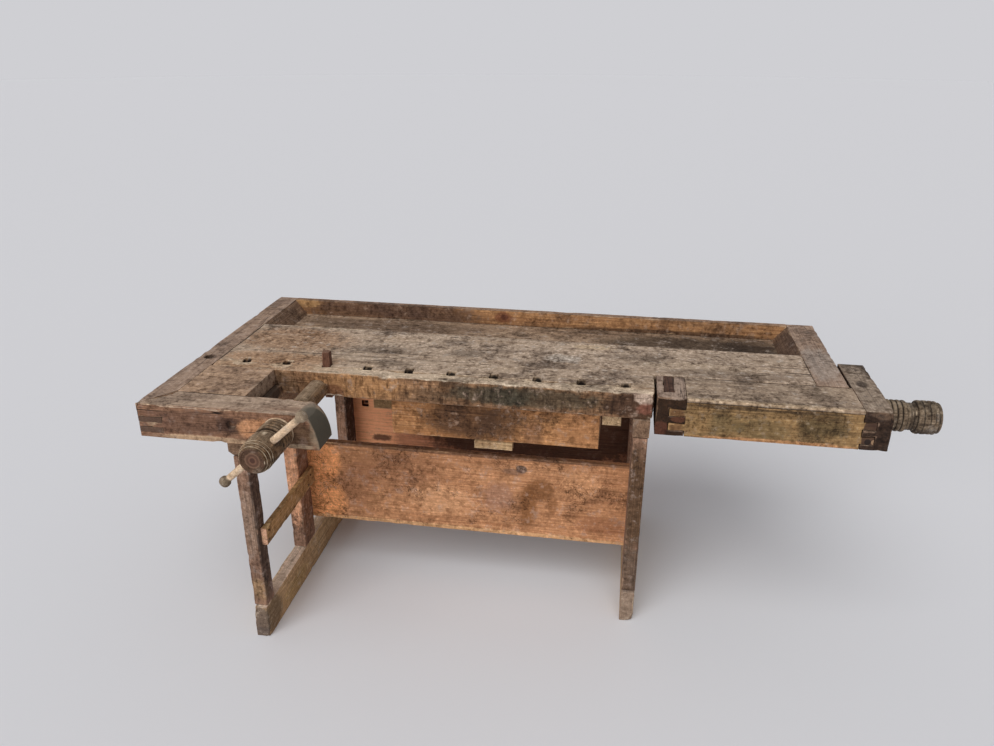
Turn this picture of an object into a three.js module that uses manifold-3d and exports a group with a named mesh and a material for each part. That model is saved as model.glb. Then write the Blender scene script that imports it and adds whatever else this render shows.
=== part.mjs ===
import * as THREE from 'three';
import { mergeVertices } from 'three/addons/utils/BufferGeometryUtils.js';
import Module from 'manifold-3d';

const wasm = await Module();
wasm.setup();

// A joiner's bench with a shoulder vise at the front left and a tail vise at the right.
// Millimetres. X runs along the bench, Y from front to back, Z up. Pieces are drawn from the
// left end cap's outer face, the slab's front face and the floor, and the whole bench is
// moved at the end so that its origin is under the middle of its outline.

// Driving dimensions: the slab and its end caps
const benchHeight = 800;
const slabLength = 1836;
const slabThickness = 80;
const frontStripDepth = 50;
const dogPlankDepth = 100;
const rearPlankDepth = 240;
const tailNotchLength = 473;
const leftCapWidth = 72;
const rightCapWidth = 92;
const capThickness = 103;
const dogHoleSide = 26;
const dogPitch = 132;
const dogHoleEdge = 20;
const dogRowMargin = 30;

// Driving dimensions: the tool tray
const trayWidth = 280;
const trayDrop = 55;
const trayFloorThickness = 18;
const trayTongue = 8;
const backRailThickness = 28;
const railTenonLength = 20;
const railTenonThickness = 12;
const railTenonHeight = 50;
const rampRun = 45;

// Driving dimensions: the shoulder vise
const viseOpening = 199;
const armDepth = 97;
const armLength = 532;
const armNoseRun = 62;
const mitreThickness = 25;
const cornerFingers = 2;
const spacerWidth = 209;
const spacerThickness = 50;
const knotHoleX = 279;
const knotHoleDrop = 47;
const knotHoleDiameter = 30;
const knotHoleDepth = 14;

// Driving dimensions: the wooden screws, their heads and the tommy bar
const screwDiameter = 62;
const shoulderScrewDrop = 55;
const shoulderScrewFromNose = 114;
const tailScrewDrop = 52;
const tailScrewInset = 90;
const washerThickness = 6;
const washerDiameter = 90;
const headRingCount = 4;
const headRingLength = 14;
const headRingDiameter = 92;
const headRingGroove = 3;
const headNeckDiameter = 78;
const shoulderNeckLength = 16;
const shoulderDrumLength = 86;
const tailNeckLength = 26;
const tailDrumLength = 65;
const shoulderDrumDiameter = 90;
const shoulderRimDiameter = 68;
const shoulderTaperLength = 34;
const tailDrumDiameter = 98;
const tailRimDiameter = 86;
const tailTaperLength = 20;
const headRimLength = 12;
const headRimGroove = 3;
const headFaceDiameter = 62;
const headFaceSink = 3;
const barDiameter = 20;
const barLength = 344;
const barTilt = THREE.MathUtils.degToRad(42);
const shoulderBarFromEnd = 62;
const tailBarFromEnd = 32;
const knobDiameter = 32;
const knobLength = 24;
const knobPegDiameter = 13;
const tailShaftLength = 393;
const shaftTipChamfer = 2;

// Driving dimensions: the tail vise
const tailProud = 11;
const tailHeight = 120;
const tailBeamDepth = 56;
const tailTopThickness = 12;
const tailJawLength = 84;
const tailJawOpening = 6;
const tailEndLength = 77;
const tailEndReach = 340;
const tailEndGap = 6;
const dovetailCount = 2;
const dovetailHeight = 26;
const dovetailPitch = 45;
const dovetailLift = 15;
const dovetailFlare = 2.5;
const jawDovetailLength = 47;
const endDovetailLength = 36;
const jawInsetWidth = 28;
const jawInsetDepth = 10;
const jawInsetStart = 22;
const jawInsetFront = 44;
const guideHeight = 58;
const keeperDepth = 27;
const keeperHeight = 18;
const nutTenonLength = 40;
const nutTenonWidth = 30;
const nutTenonHeight = 40;
const garterThickness = 16;
const garterWidth = 70;
const garterInset = 41;
const garterLap = 12;
const garterGrooveDepth = 8;

// Driving dimensions: the trestles and aprons
const legThickness = 44;
const leftTrestleX = 256;
const rightTrestleSetback = 9;
const footHeight = 113;
const footFrontReach = 10;
const footBackReach = 32;
const postInset = 28;
const postDepth = 50;
const frontLegBack = 132;
const leftFrontLegDepth = 88;
const rightFrontLegDepth = 140;
const rearLegBack = 608;
const rearLegDepth = 88;
const tenonThickness = 16;
const tenonShoulder = 10;
const footTenonLength = 60;
const bearerTenonLength = 36;
const leftBearerHeight = 80;
const leftBearerInset = 6;
const leftBearerChamfer = 26;
const rightBearerHeight = 58;
const rightBearerThickness = 50;
const sideRailThickness = 18;
const sideRailHeight = 58;
const sideRailBottom = 330;
const sideRailSetback = 16;
const apronThickness = 26;
const apronHeight = 301;
const apronBottom = 184;
const apronScrewInset = 50;
const apronScrewDiameter = 10;
const apronScrewLength = 68;
const peepHoleX = 347;
const peepHoleTop = 418;
const peepHoleSide = 26;
const peepHoleDepth = 21;

// Driving dimensions: the drawer
const drawerTrestleGap = 100;
const drawerWidth = 652;
const drawerFrontY = 60;
const drawerFrontThickness = 20;
const drawerFrontHeight = 134;
const drawerHeadroom = 8;
const drawerDepth = 320;
const drawerWall = 16;
const drawerSideHeight = 110;
const drawerBottomThickness = 8;
const drawerBottomLift = 4;
const pullWidth = 122;
const pullHeight = 26;
const pullDepth = 28;
const hangerWidth = 22;
const hangerHeight = 16;
const runnerWidth = 58;
const runnerHeight = 66;
const runnerLipHeight = 30;
const runnerLipWidth = 20;
const runnerFrontY = 78;
const runnerLength = 322;

// Driving dimensions: bolts and the bench dog
const capBoltDiameter = 12;
const capBoltLength = 150;
const capBoltHeadDiameter = 28;
const capBoltHeadHeight = 9;
const capBoltSink = 12;
const capBoltSeatGap = 3;
const screwHeadRatio = 2;
const dogLength = 155;
const dogProud = 45;
const dogPlace = 429;

// Clearances
const fitGap = 0.3;
const screwClearance = 0.8;
const barClearance = 0.9;
const slideClearance = 2;
const nutClearance = 4;
const headGap = 0.5;
const holeEase = 0.5;
const holeTipGap = 2;
const guideGap = 3;
const hangerClearance = 4;
const dogClearance = 1;

// Facets of round pieces
const turnedSides = 24;
const smallSides = 12;
const noseSteps = 10;

// Levels and lines that the pieces share
const slabBottom = benchHeight - slabThickness;
const capBottom = benchHeight - capThickness;
const slabStart = leftCapWidth;
const slabEnd = slabStart + slabLength;
const rightCapEnd = slabEnd + rightCapWidth;
const notchStart = slabEnd - tailNotchLength;
const dogRowCentre = frontStripDepth + dogHoleSide / 2;
const notchBack = frontStripDepth + dogPlankDepth;
const slabBack = notchBack + rearPlankDepth;
const trayBack = slabBack + trayWidth;
const benchBack = trayBack + backRailThickness;
const trayFloorTop = benchHeight - trayDrop;
const armBack = -viseOpening;
const armFront = armBack - armDepth;
const shoulderScrewZ = benchHeight - shoulderScrewDrop;
const tailScrewZ = benchHeight - tailScrewDrop;
const shoulderScrewX = armLength - shoulderScrewFromNose;
const rightTrestleX = notchStart - rightTrestleSetback - legThickness;
const postFront = armFront + postInset;
const leftBearerFront = armFront + leftBearerInset;
const drawerRight = rightTrestleX - drawerTrestleGap;
const drawerLeft = drawerRight - drawerWidth;
const overrun = 1;

const bench = new THREE.Group();

// Colours and surface of the woods and metals
const finishes = {
  slab: { color: 0x94806c, roughness: 0.85, metalness: 0 },
  cap: { color: 0x8a7866, roughness: 0.85, metalness: 0 },
  tray: { color: 0x6e5d4d, roughness: 0.9, metalness: 0 },
  arm: { color: 0x97755a, roughness: 0.8, metalness: 0 },
  screw: { color: 0x84745c, roughness: 0.75, metalness: 0 },
  bar: { color: 0xc0a27a, roughness: 0.7, metalness: 0 },
  tailBeam: { color: 0xa6875c, roughness: 0.8, metalness: 0 },
  darkBlock: { color: 0x5f4b40, roughness: 0.8, metalness: 0 },
  leg: { color: 0x997863, roughness: 0.85, metalness: 0 },
  foot: { color: 0xb09a78, roughness: 0.85, metalness: 0 },
  apron: { color: 0xbd8860, roughness: 0.8, metalness: 0 },
  drawer: { color: 0xaf8a60, roughness: 0.8, metalness: 0 },
  iron: { color: 0x4a4643, roughness: 0.6, metalness: 0.8 },
};

// A closed solid from a three.js geometry, ready to be joined and cut
function solidFrom(geometry) {
  geometry.deleteAttribute('normal');
  geometry.deleteAttribute('uv');
  const merged = mergeVertices(geometry, 1e-3);
  const corners = merged.index.array;
  const triangles = [];
  for (let first = 0; first < corners.length; first += 3) {
    const triangle = [corners[first], corners[first + 1], corners[first + 2]];
    if (new Set(triangle).size === 3) {
      triangles.push(...triangle);
    }
  }
  const mesh = new wasm.Mesh({
    numProp: 3,
    vertProperties: merged.attributes.position.array,
    triVerts: Uint32Array.from(triangles),
  });
  return new wasm.Manifold(mesh);
}

// A squared timber that fills the given spans
function block({ x, y, z }) {
  const geometry = new THREE.BoxGeometry(x[1] - x[0], y[1] - y[0], z[1] - z[0]);
  geometry.translate((x[0] + x[1]) / 2, (y[0] + y[1]) / 2, (z[0] + z[1]) / 2);
  return solidFrom(geometry);
}

// The same spans with a gap added on every side, for the mortise or slot of a timber
function widened(spans, gap) {
  const grow = ([low, high]) => [low - gap, high + gap];
  return { x: grow(spans.x), y: grow(spans.y), z: grow(spans.z) };
}

// A span of a given length about a centre
function about(centre, length) {
  return [centre - length / 2, centre + length / 2];
}

// A span between two values given in either order
function spanBetween(one, other) {
  return [Math.min(one, other), Math.max(one, other)];
}

function shapeFrom(points) {
  return new THREE.Shape(points.map(([across, up]) => new THREE.Vector2(across, up)));
}

// A profile drawn in X and Z, extended along Y
function profileAlongY(shape, [near, far]) {
  const options = { depth: far - near, bevelEnabled: false, curveSegments: noseSteps };
  const geometry = new THREE.ExtrudeGeometry(shape, options);
  geometry.rotateX(Math.PI / 2);
  geometry.translate(0, far, 0);
  return solidFrom(geometry);
}

// A profile drawn in Y and Z, extended along X
function profileAlongX(shape, [left, right]) {
  const options = { depth: right - left, bevelEnabled: false, curveSegments: noseSteps };
  const geometry = new THREE.ExtrudeGeometry(shape, options);
  const drawnToPlace = new THREE.Matrix4().makeBasis(
    new THREE.Vector3(0, 1, 0),
    new THREE.Vector3(0, 0, 1),
    new THREE.Vector3(1, 0, 0),
  );
  geometry.applyMatrix4(drawnToPlace);
  geometry.translate(left, 0, 0);
  return solidFrom(geometry);
}

// A profile drawn in X and Y, extended upwards
function profileAlongZ(shape, [low, high]) {
  const geometry = new THREE.ExtrudeGeometry(shape, { depth: high - low, bevelEnabled: false });
  geometry.translate(0, 0, low);
  return solidFrom(geometry);
}

// A turned piece: radius and distance along its axis, from one end to the other
function turned(profile, origin, direction, sides = turnedSides) {
  const points = profile.map(([radius, along]) => new THREE.Vector2(radius, along));
  const geometry = new THREE.LatheGeometry(points, sides);
  const axis = new THREE.Vector3(...direction).normalize();
  geometry.applyQuaternion(new THREE.Quaternion().setFromUnitVectors(THREE.Object3D.DEFAULT_UP, axis));
  geometry.translate(...origin);
  return solidFrom(geometry);
}

function rod(diameter, length, origin, direction, sides = smallSides) {
  const radius = diameter / 2;
  return turned([[0, 0], [radius, 0], [radius, length], [0, length]], origin, direction, sides);
}

function joined(solids) {
  return solids.reduce((whole, solid) => whole.add(solid));
}

function cut(solid, tools) {
  return tools.reduce((left, tool) => left.subtract(tool), solid);
}

function addPiece(name, solid, finish) {
  const { vertProperties, triVerts } = solid.getMesh();
  const geometry = new THREE.BufferGeometry();
  geometry.setAttribute('position', new THREE.BufferAttribute(vertProperties, 3));
  geometry.setIndex(new THREE.BufferAttribute(triVerts, 1));
  geometry.computeVertexNormals();
  const mesh = new THREE.Mesh(geometry, new THREE.MeshStandardMaterial(finish));
  mesh.name = name;
  bench.add(mesh);
}

// A screw or bolt with a flat round head: its head starts at the origin and points back
function fastener({ diameter, length, headDiameter, headHeight }, origin, direction) {
  const profile = [
    [0, -headHeight],
    [headDiameter * 0.36, -headHeight],
    [headDiameter / 2, -headHeight * 0.4],
    [headDiameter / 2, 0],
    [diameter / 2, 0],
    [diameter / 2, length - diameter],
    [0, length],
  ];
  return turned(profile, origin, direction, smallSides);
}

// The hole for such a screw, a gap wider and deeper than its shank
function shankHole({ diameter, length }, origin, direction) {
  return rod(diameter + 2 * holeEase, length + holeTipGap, origin, direction);
}

// Fasteners: their sizes and where they go
const capBolt = {
  diameter: capBoltDiameter,
  length: capBoltLength,
  headDiameter: capBoltHeadDiameter,
  headHeight: capBoltHeadHeight,
};
const apronScrew = {
  diameter: apronScrewDiameter,
  length: apronScrewLength,
  headDiameter: apronScrewDiameter * screwHeadRatio,
  headHeight: apronScrewDiameter * 0.6,
};
const boltZ = benchHeight - slabThickness / 2;
const dogPlankSolidCentre = notchBack - (dogPlankDepth - dogHoleSide) / 2;
const rearPlankShare = (share) => notchBack + rearPlankDepth * share;
const leftCapBolts = [dogPlankSolidCentre, rearPlankShare(0.5)].map((y) => ({
  seat: [capBoltSink, y, boltZ],
  way: [1, 0, 0],
}));
const rightCapBolts = [rearPlankShare(0.3), rearPlankShare(0.75)].map((y) => ({
  seat: [rightCapEnd - capBoltSink, y, boltZ],
  way: [-1, 0, 0],
}));

// The hole for a cap bolt, with the sunk seat that hides its head
function capBoltHole({ seat, way }) {
  const [x, y, z] = seat;
  const outside = x - way[0] * (capBoltSink + overrun);
  return joined([
    shankHole(capBolt, [x - way[0] * overrun, y, z], way),
    rod(capBoltHeadDiameter + 2 * capBoltSeatGap, capBoltSink + overrun, [outside, y, z], way),
  ]);
}

// The row of square dog holes: the first is in the left end cap
const firstDogX = dogHoleEdge + dogHoleSide / 2;
const dogHoleCount = 1 + Math.floor((notchStart - dogRowMargin - firstDogX) / dogPitch);
const dogHoleCentres = Array.from({ length: dogHoleCount }, (_, index) => firstDogX + index * dogPitch);

// The drawer's two runners hang under the slab
const runnerBottom = slabBottom - runnerHeight - fitGap;
const runnerReach = hangerWidth + hangerClearance - runnerLipWidth;
const runners = [
  { side: 'left', inner: drawerLeft - runnerReach, outwards: -1 },
  { side: 'right', inner: drawerRight + runnerReach, outwards: 1 },
].map((runner) => ({ ...runner, outer: runner.inner + runner.outwards * runnerWidth }));

// Tail vise lines, needed by the slab's notch and the right end cap
const tailBottom = benchHeight - tailHeight;
const tailFront = -tailProud;
const tailBeamBack = tailFront + tailBeamDepth;
const tailBack = notchBack - slideClearance;
const jawStart = notchStart + tailJawOpening;
const jawEnd = jawStart + tailJawLength;
const endStart = rightCapEnd + tailEndGap;
const endEnd = endStart + tailEndLength;
const guideBottom = tailBottom + keeperHeight + nutClearance;
const guideFront = tailScrewInset + screwDiameter / 2 + guideGap;
const nutTop = benchHeight - tailTopThickness - nutClearance;
const nutTenon = {
  x: about((slabEnd + rightCapEnd) / 2, nutTenonWidth),
  y: [notchBack - overrun, notchBack + nutTenonLength],
  z: about(tailScrewZ, nutTenonHeight),
};

// The slab: three timbers glued edge to edge. The dog holes are notches in the middle one,
// closed by the front strip.
function addSlab() {
  const start = slabStart + fitGap;
  const z = [slabBottom, benchHeight];
  const frontStrip = block({ x: [start, notchStart], y: [0, frontStripDepth - fitGap], z });
  addPiece('slab_front_strip', frontStrip, finishes.slab);

  const dogPlank = block({ x: [start, notchStart], y: [frontStripDepth, notchBack], z });
  const dogHoles = dogHoleCentres.slice(1).map((centre) => block({
    x: about(centre, dogHoleSide),
    y: [frontStripDepth - overrun, frontStripDepth + dogHoleSide],
    z: [slabBottom - overrun, benchHeight + overrun],
  }));
  const boltHoles = [...leftCapBolts, ...rightCapBolts].map(capBoltHole);
  addPiece('slab_dog_plank', cut(dogPlank, [...dogHoles, ...boltHoles]), finishes.slab);

  const rearPlank = block({ x: [start, slabEnd - fitGap], y: [notchBack + fitGap, slabBack], z });
  const floorGroove = block({
    x: [slabStart, slabEnd],
    y: [slabBack - trayTongue - fitGap, slabBack + overrun],
    z: [trayFloorTop - trayFloorThickness - fitGap, trayFloorTop + fitGap],
  });
  addPiece('slab_rear_plank', cut(rearPlank, [floorGroove, ...boltHoles]), finishes.slab);
}

// The back rail's tenons and the mortises that take them in the end caps
const railTenonY = about((trayBack + benchBack) / 2, railTenonThickness);
const railTenonZ = about((capBottom + benchHeight) / 2, railTenonHeight);
const railTenons = {
  x: [slabStart - railTenonLength, slabEnd + railTenonLength],
  y: railTenonY,
  z: railTenonZ,
};

// The corner joint of the left end cap and the vise arm: fingers below, a mitre on top
const mitreBottom = benchHeight - mitreThickness;
const fingerStep = (mitreBottom - capBottom) / (2 * cornerFingers + 1);
const cornerFingerSpans = Array.from({ length: cornerFingers }, (_, index) => ({
  x: [0, leftCapWidth],
  y: [armFront, armBack + overrun],
  z: [capBottom + fingerStep * (2 * index + 1), capBottom + fingerStep * (2 * index + 2)],
}));

function addEndCaps() {
  const z = [capBottom, benchHeight];
  const leftBody = block({ x: [0, leftCapWidth], y: [armBack, benchBack], z });
  const mitre = profileAlongZ(
    shapeFrom([
      [0, armFront],
      [leftCapWidth, armBack],
      [leftCapWidth, armBack + overrun],
      [0, armBack + overrun],
    ]),
    [mitreBottom, benchHeight],
  );
  const dogHole = block({
    x: about(firstDogX, dogHoleSide),
    y: about(dogRowCentre, dogHoleSide),
    z: [capBottom - overrun, benchHeight + overrun],
  });
  const railMortises = block(widened(railTenons, fitGap));
  const leftCap = joined([leftBody, mitre, ...cornerFingerSpans.map(block)]);
  const leftCuts = [dogHole, railMortises, ...leftCapBolts.map(capBoltHole)];
  addPiece('left_end_cap', cut(leftCap, leftCuts), finishes.cap);

  const rightCap = block({ x: [slabEnd, rightCapEnd], y: [notchBack + fitGap, benchBack], z });
  const nutMortise = block(widened(nutTenon, fitGap));
  const rightCuts = [railMortises, nutMortise, ...rightCapBolts.map(capBoltHole)];
  addPiece('right_end_cap', cut(rightCap, rightCuts), finishes.cap);

  const bolts = { left_cap_bolt: leftCapBolts, right_cap_bolt: rightCapBolts };
  for (const [name, places] of Object.entries(bolts)) {
    places.forEach(({ seat, way }, index) => {
      addPiece(`${name}_${index + 1}`, fastener(capBolt, seat, way), finishes.iron);
    });
  }
}

// The tool tray behind the slab: floor in grooves, back rail and a sloping ramp at each end
function addTray() {
  const x = [slabStart + fitGap, slabEnd - fitGap];
  const floor = {
    x,
    y: [slabBack - trayTongue, trayBack + trayTongue],
    z: [trayFloorTop - trayFloorThickness, trayFloorTop],
  };
  addPiece('tray_floor', block(floor), finishes.tray);

  const rail = joined([
    block({ x, y: [trayBack, benchBack], z: [capBottom, benchHeight] }),
    block(railTenons),
  ]);
  const groove = widened({ ...floor, x: [slabStart, slabEnd] }, fitGap);
  addPiece('tray_back_rail', cut(rail, [block(groove)]), finishes.apron);

  const rampY = [slabBack + fitGap, trayBack - fitGap];
  const foot = trayFloorTop + fitGap;
  const ramps = { tray_ramp_left: [x[0], 1], tray_ramp_right: [x[1], -1] };
  for (const [name, [wall, inwards]] of Object.entries(ramps)) {
    const shape = shapeFrom([[wall, foot], [wall + inwards * rampRun, foot], [wall, benchHeight]]);
    addPiece(name, profileAlongY(shape, rampY), finishes.tray);
  }
}

// The shoulder vise: the arm that carries the screw, and the block that holds it off the slab
function addShoulderArm() {
  const outline = new THREE.Shape();
  outline.moveTo(0, capBottom);
  outline.lineTo(armLength, capBottom);
  outline.absellipse(armLength - armNoseRun, capBottom, armNoseRun, capThickness, 0, Math.PI / 2);
  outline.lineTo(0, benchHeight);
  const arm = profileAlongY(outline, [armFront, armBack - fitGap]);

  const slope = leftCapWidth / armDepth;
  const mitreGap = 2 * fitGap;
  const mitreCut = profileAlongZ(
    shapeFrom([
      [-overrun * 2, armFront - overrun],
      [mitreGap - slope * overrun, armFront - overrun],
      [leftCapWidth + mitreGap, armBack],
      [leftCapWidth + mitreGap, armBack + overrun],
      [-overrun * 2, armBack + overrun],
    ]),
    [mitreBottom - fitGap, benchHeight + overrun],
  );
  const fingerCuts = cornerFingerSpans.map((spans) => block(widened(spans, fitGap)));
  const bore = rod(
    screwDiameter + 2 * screwClearance,
    armDepth + 2 * overrun,
    [shoulderScrewX, armFront - overrun, shoulderScrewZ],
    [0, 1, 0],
    turnedSides,
  );
  const knotRadius = knotHoleDiameter / 2;
  const knotHole = turned(
    [[0, -overrun], [knotRadius, -overrun], [knotRadius * 0.6, knotHoleDepth], [0, knotHoleDepth]],
    [knotHoleX, armFront, benchHeight - knotHoleDrop],
    [0, 1, 0],
    smallSides,
  );
  addPiece('shoulder_vise_arm', cut(arm, [mitreCut, ...fingerCuts, bore, knotHole]), finishes.arm);

  const spacer = block({
    x: [slabStart + fitGap, slabStart + spacerWidth],
    y: [armBack, -fitGap],
    z: [benchHeight - spacerThickness, benchHeight],
  });
  addPiece('shoulder_spacer', spacer, finishes.slab);
}

// The turned head that both screws have: ringed collar, neck, and a drum that rounds down to its rim,
// with a groove near each end
const headCollarLength = headRingCount * headRingLength;
const shoulderHead = {
  neckLength: shoulderNeckLength,
  drumLength: shoulderDrumLength,
  drumDiameter: shoulderDrumDiameter,
  rimDiameter: shoulderRimDiameter,
  taperLength: shoulderTaperLength,
};
const tailHead = {
  neckLength: tailNeckLength,
  drumLength: tailDrumLength,
  drumDiameter: tailDrumDiameter,
  rimDiameter: tailRimDiameter,
  taperLength: tailTaperLength,
};
const headLength = ({ neckLength, drumLength }) => headCollarLength + neckLength + drumLength;

function headProfile({ neckLength, drumLength, drumDiameter, rimDiameter, taperLength }, start) {
  const ring = headRingDiameter / 2;
  const drum = drumDiameter / 2;
  const rim = rimDiameter / 2;
  const face = headFaceDiameter / 2;
  const barrel = (fromEnd) => drum - (drum - rim) * (1 - fromEnd / taperLength) ** 2;
  const grooveEnd = headRimLength + 2 * headRimGroove;
  const profile = [];
  for (let index = 0; index < headRingCount; index += 1) {
    const along = start + index * headRingLength;
    profile.push([ring - headRingGroove, along]);
    profile.push([ring, along + headRingGroove]);
    profile.push([ring, along + headRingLength - headRingGroove]);
  }
  const neck = start + headCollarLength;
  const drumStart = neck + neckLength;
  const end = drumStart + drumLength;
  profile.push(
    [headNeckDiameter / 2, neck],
    [headNeckDiameter / 2, drumStart],
    [drum, drumStart + headRimGroove],
    [drum, drumStart + headRimLength],
    [drum - headRimGroove, drumStart + headRimLength + headRimGroove],
    [drum, drumStart + headRimLength + 2 * headRimGroove],
    [drum, end - taperLength],
    [barrel(grooveEnd), end - grooveEnd],
    [barrel(grooveEnd - headRimGroove) - headRimGroove, end - grooveEnd + headRimGroove],
    [barrel(headRimLength), end - headRimLength],
    [barrel(headRimLength / 2), end - headRimLength / 2],
    [rim, end],
    [face, end],
    [face - headFaceSink, end - headFaceSink],
    [0, end - headFaceSink],
  );
  return profile;
}

// The chamfered tip of a screw's shaft
function tipProfile(radius) {
  return [[0, 0], [radius - shaftTipChamfer, 0], [radius, shaftTipChamfer]];
}

const barHoleDiameter = barDiameter + 2 * barClearance;

// The hole for a tommy bar, across a screw's head
function barHole({ drumDiameter }, centre, direction) {
  const reach = drumDiameter + 2 * overrun;
  const origin = centre.map((value, index) => value - direction[index] * reach / 2);
  return rod(barHoleDiameter, reach, origin, direction);
}

const shoulderHeadStart = armFront - washerThickness - 2 * headGap;
const shoulderHeadEnd = shoulderHeadStart - headLength(shoulderHead);
const barCentre = [shoulderScrewX, shoulderHeadEnd + shoulderBarFromEnd, shoulderScrewZ];
const barWay = [Math.cos(barTilt), 0, Math.sin(barTilt)];

function addShoulderScrew() {
  const radius = screwDiameter / 2;
  const tip = -slideClearance;
  const shaftLength = tip - shoulderHeadStart;
  const profile = [
    ...tipProfile(radius),
    [radius, shaftLength],
    ...headProfile(shoulderHead, shaftLength),
  ];
  const screw = turned(profile, [shoulderScrewX, tip, shoulderScrewZ], [0, -1, 0]);
  addPiece('shoulder_screw', cut(screw, [barHole(shoulderHead, barCentre, barWay)]), finishes.screw);

  const inner = radius + screwClearance;
  const outer = washerDiameter / 2;
  const washer = turned(
    [[inner, 0], [outer, 0], [outer, washerThickness], [inner, washerThickness], [inner, 0]],
    [shoulderScrewX, armFront - headGap, shoulderScrewZ],
    [0, -1, 0],
  );
  addPiece('shoulder_washer', washer, finishes.bar);
}

// The tommy bar: one knob is turned on its end, the other is pegged on after it is in the head
function addTommyBar() {
  const bar = barDiameter / 2;
  const knob = knobDiameter / 2;
  const peg = knobPegDiameter / 2;
  const pegLength = knobLength * 0.7;
  const start = barCentre.map((value, index) => value - barWay[index] * barLength / 2);
  const shoulder = barLength - knobLength;
  const barProfile = [
    [0, 0],
    [knob * 0.7, 0],
    [knob, knobLength * 0.25],
    [knob, knobLength * 0.75],
    [bar, knobLength],
    [bar, shoulder - fitGap],
    [peg, shoulder - fitGap],
    [peg, shoulder + pegLength - fitGap],
    [0, shoulder + pegLength - fitGap],
  ];
  addPiece('shoulder_bar', turned(barProfile, start, barWay, smallSides), finishes.bar);

  const hole = peg + 2 * fitGap;
  const knobProfile = [
    [0, shoulder + pegLength],
    [hole, shoulder + pegLength],
    [hole, shoulder],
    [bar, shoulder],
    [knob, shoulder + knobLength * 0.25],
    [knob, shoulder + knobLength * 0.75],
    [knob * 0.7, barLength],
    [0, barLength],
  ];
  addPiece('shoulder_bar_knob', turned(knobProfile, start, barWay, smallSides), finishes.bar);
}

// Dovetails of the tail vise's front beam, at one end of it: they flare from root to tip.
// With a gap they are the tools that cut their sockets, open at the front.
function beamDovetails(root, tip, gap = 0) {
  const outwards = Math.sign(tip - root);
  const y = [tailFront - (gap > 0 ? overrun : 0), tailBeamBack + gap];
  return Array.from({ length: dovetailCount }, (_, index) => {
    const low = tailBottom + dovetailLift + index * dovetailPitch - gap;
    const high = low + dovetailHeight + 2 * gap;
    const end = tip + outwards * gap;
    const outline = [
      [root, low + dovetailFlare],
      [end, low],
      [end, high],
      [root, high - dovetailFlare],
    ];
    return profileAlongY(shapeFrom(outline), y);
  });
}

const garterX = endEnd - garterInset;
const grooveDiameter = screwDiameter - 2 * garterGrooveDepth;
const garter = {
  x: about(garterX, garterThickness),
  y: about(tailScrewInset, garterWidth),
  z: [tailBottom, tailScrewZ + garterLap],
};

// The tail vise: a box of timbers that slides along the slab's notch
function addTailVise() {
  const x = [jawEnd + fitGap, endStart - fitGap];
  const topBottom = benchHeight - tailTopThickness;
  const jawTails = [jawEnd + overrun, jawEnd - jawDovetailLength];
  const endTails = [endStart - overrun, endStart + endDovetailLength];

  const inset = {
    x: [jawStart + jawInsetStart, jawStart + jawInsetStart + jawInsetWidth],
    y: [tailFront + jawInsetFront, tailBack],
    z: [benchHeight - jawInsetDepth, benchHeight],
  };
  const insetSlot = block(widened({ ...inset, z: [inset.z[0], benchHeight + overrun] }, fitGap));
  const guideSlot = block({
    x: [jawStart - overrun, jawEnd + overrun],
    y: [guideFront - slideClearance, tailBack + overrun],
    z: [guideBottom - slideClearance, guideBottom + guideHeight + slideClearance],
  });
  const jaw = block({ x: [jawStart, jawEnd], y: [tailFront, tailBack], z: [tailBottom, benchHeight] });
  addPiece('tail_jaw', cut(jaw, [...beamDovetails(...jawTails, fitGap), insetSlot, guideSlot]), finishes.darkBlock);
  addPiece('tail_jaw_inset', block(inset), finishes.darkBlock);

  const beam = block({ x, y: [tailFront, tailBeamBack], z: [tailBottom, topBottom] });
  const dovetails = [...beamDovetails(...jawTails), ...beamDovetails(...endTails)];
  addPiece('tail_front_beam', joined([beam, ...dovetails]), finishes.tailBeam);

  const board = block({ x, y: [tailFront, tailBack], z: [topBottom + fitGap, benchHeight] });
  addPiece('tail_top_board', board, finishes.slab);

  const keeperBack = tailBack - overrun;
  const keeper = {
    x,
    y: [keeperBack - keeperDepth, keeperBack],
    z: [tailBottom, tailBottom + keeperHeight],
  };
  addPiece('tail_keeper_batten', block(keeper), finishes.leg);

  const screwBore = rod(
    screwDiameter + 2 * screwClearance,
    tailEndLength + 2 * overrun,
    [endStart - overrun, tailScrewInset, tailScrewZ],
    [1, 0, 0],
    turnedSides,
  );
  const garterSlot = block(widened({ ...garter, z: [tailBottom - overrun, garter.z[1]] }, fitGap));
  const endBlock = block({
    x: [endStart, endEnd],
    y: [tailFront, tailEndReach],
    z: [tailBottom, benchHeight],
  });
  const endCuts = [...beamDovetails(...endTails, fitGap), screwBore, garterSlot];
  addPiece('tail_end_block', cut(endBlock, endCuts), finishes.darkBlock);

  const fork = grooveDiameter + 2 * screwClearance;
  const forkRound = rod(
    fork,
    garterThickness + 2 * overrun,
    [garter.x[0] - overrun, tailScrewInset, tailScrewZ],
    [1, 0, 0],
    turnedSides,
  );
  const forkMouth = block({
    x: [garter.x[0] - overrun, garter.x[1] + overrun],
    y: about(tailScrewInset, fork),
    z: [tailScrewZ, garter.z[1] + overrun],
  });
  addPiece('tail_garter_key', cut(block(garter), [forkRound, forkMouth]), finishes.leg);
}

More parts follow.
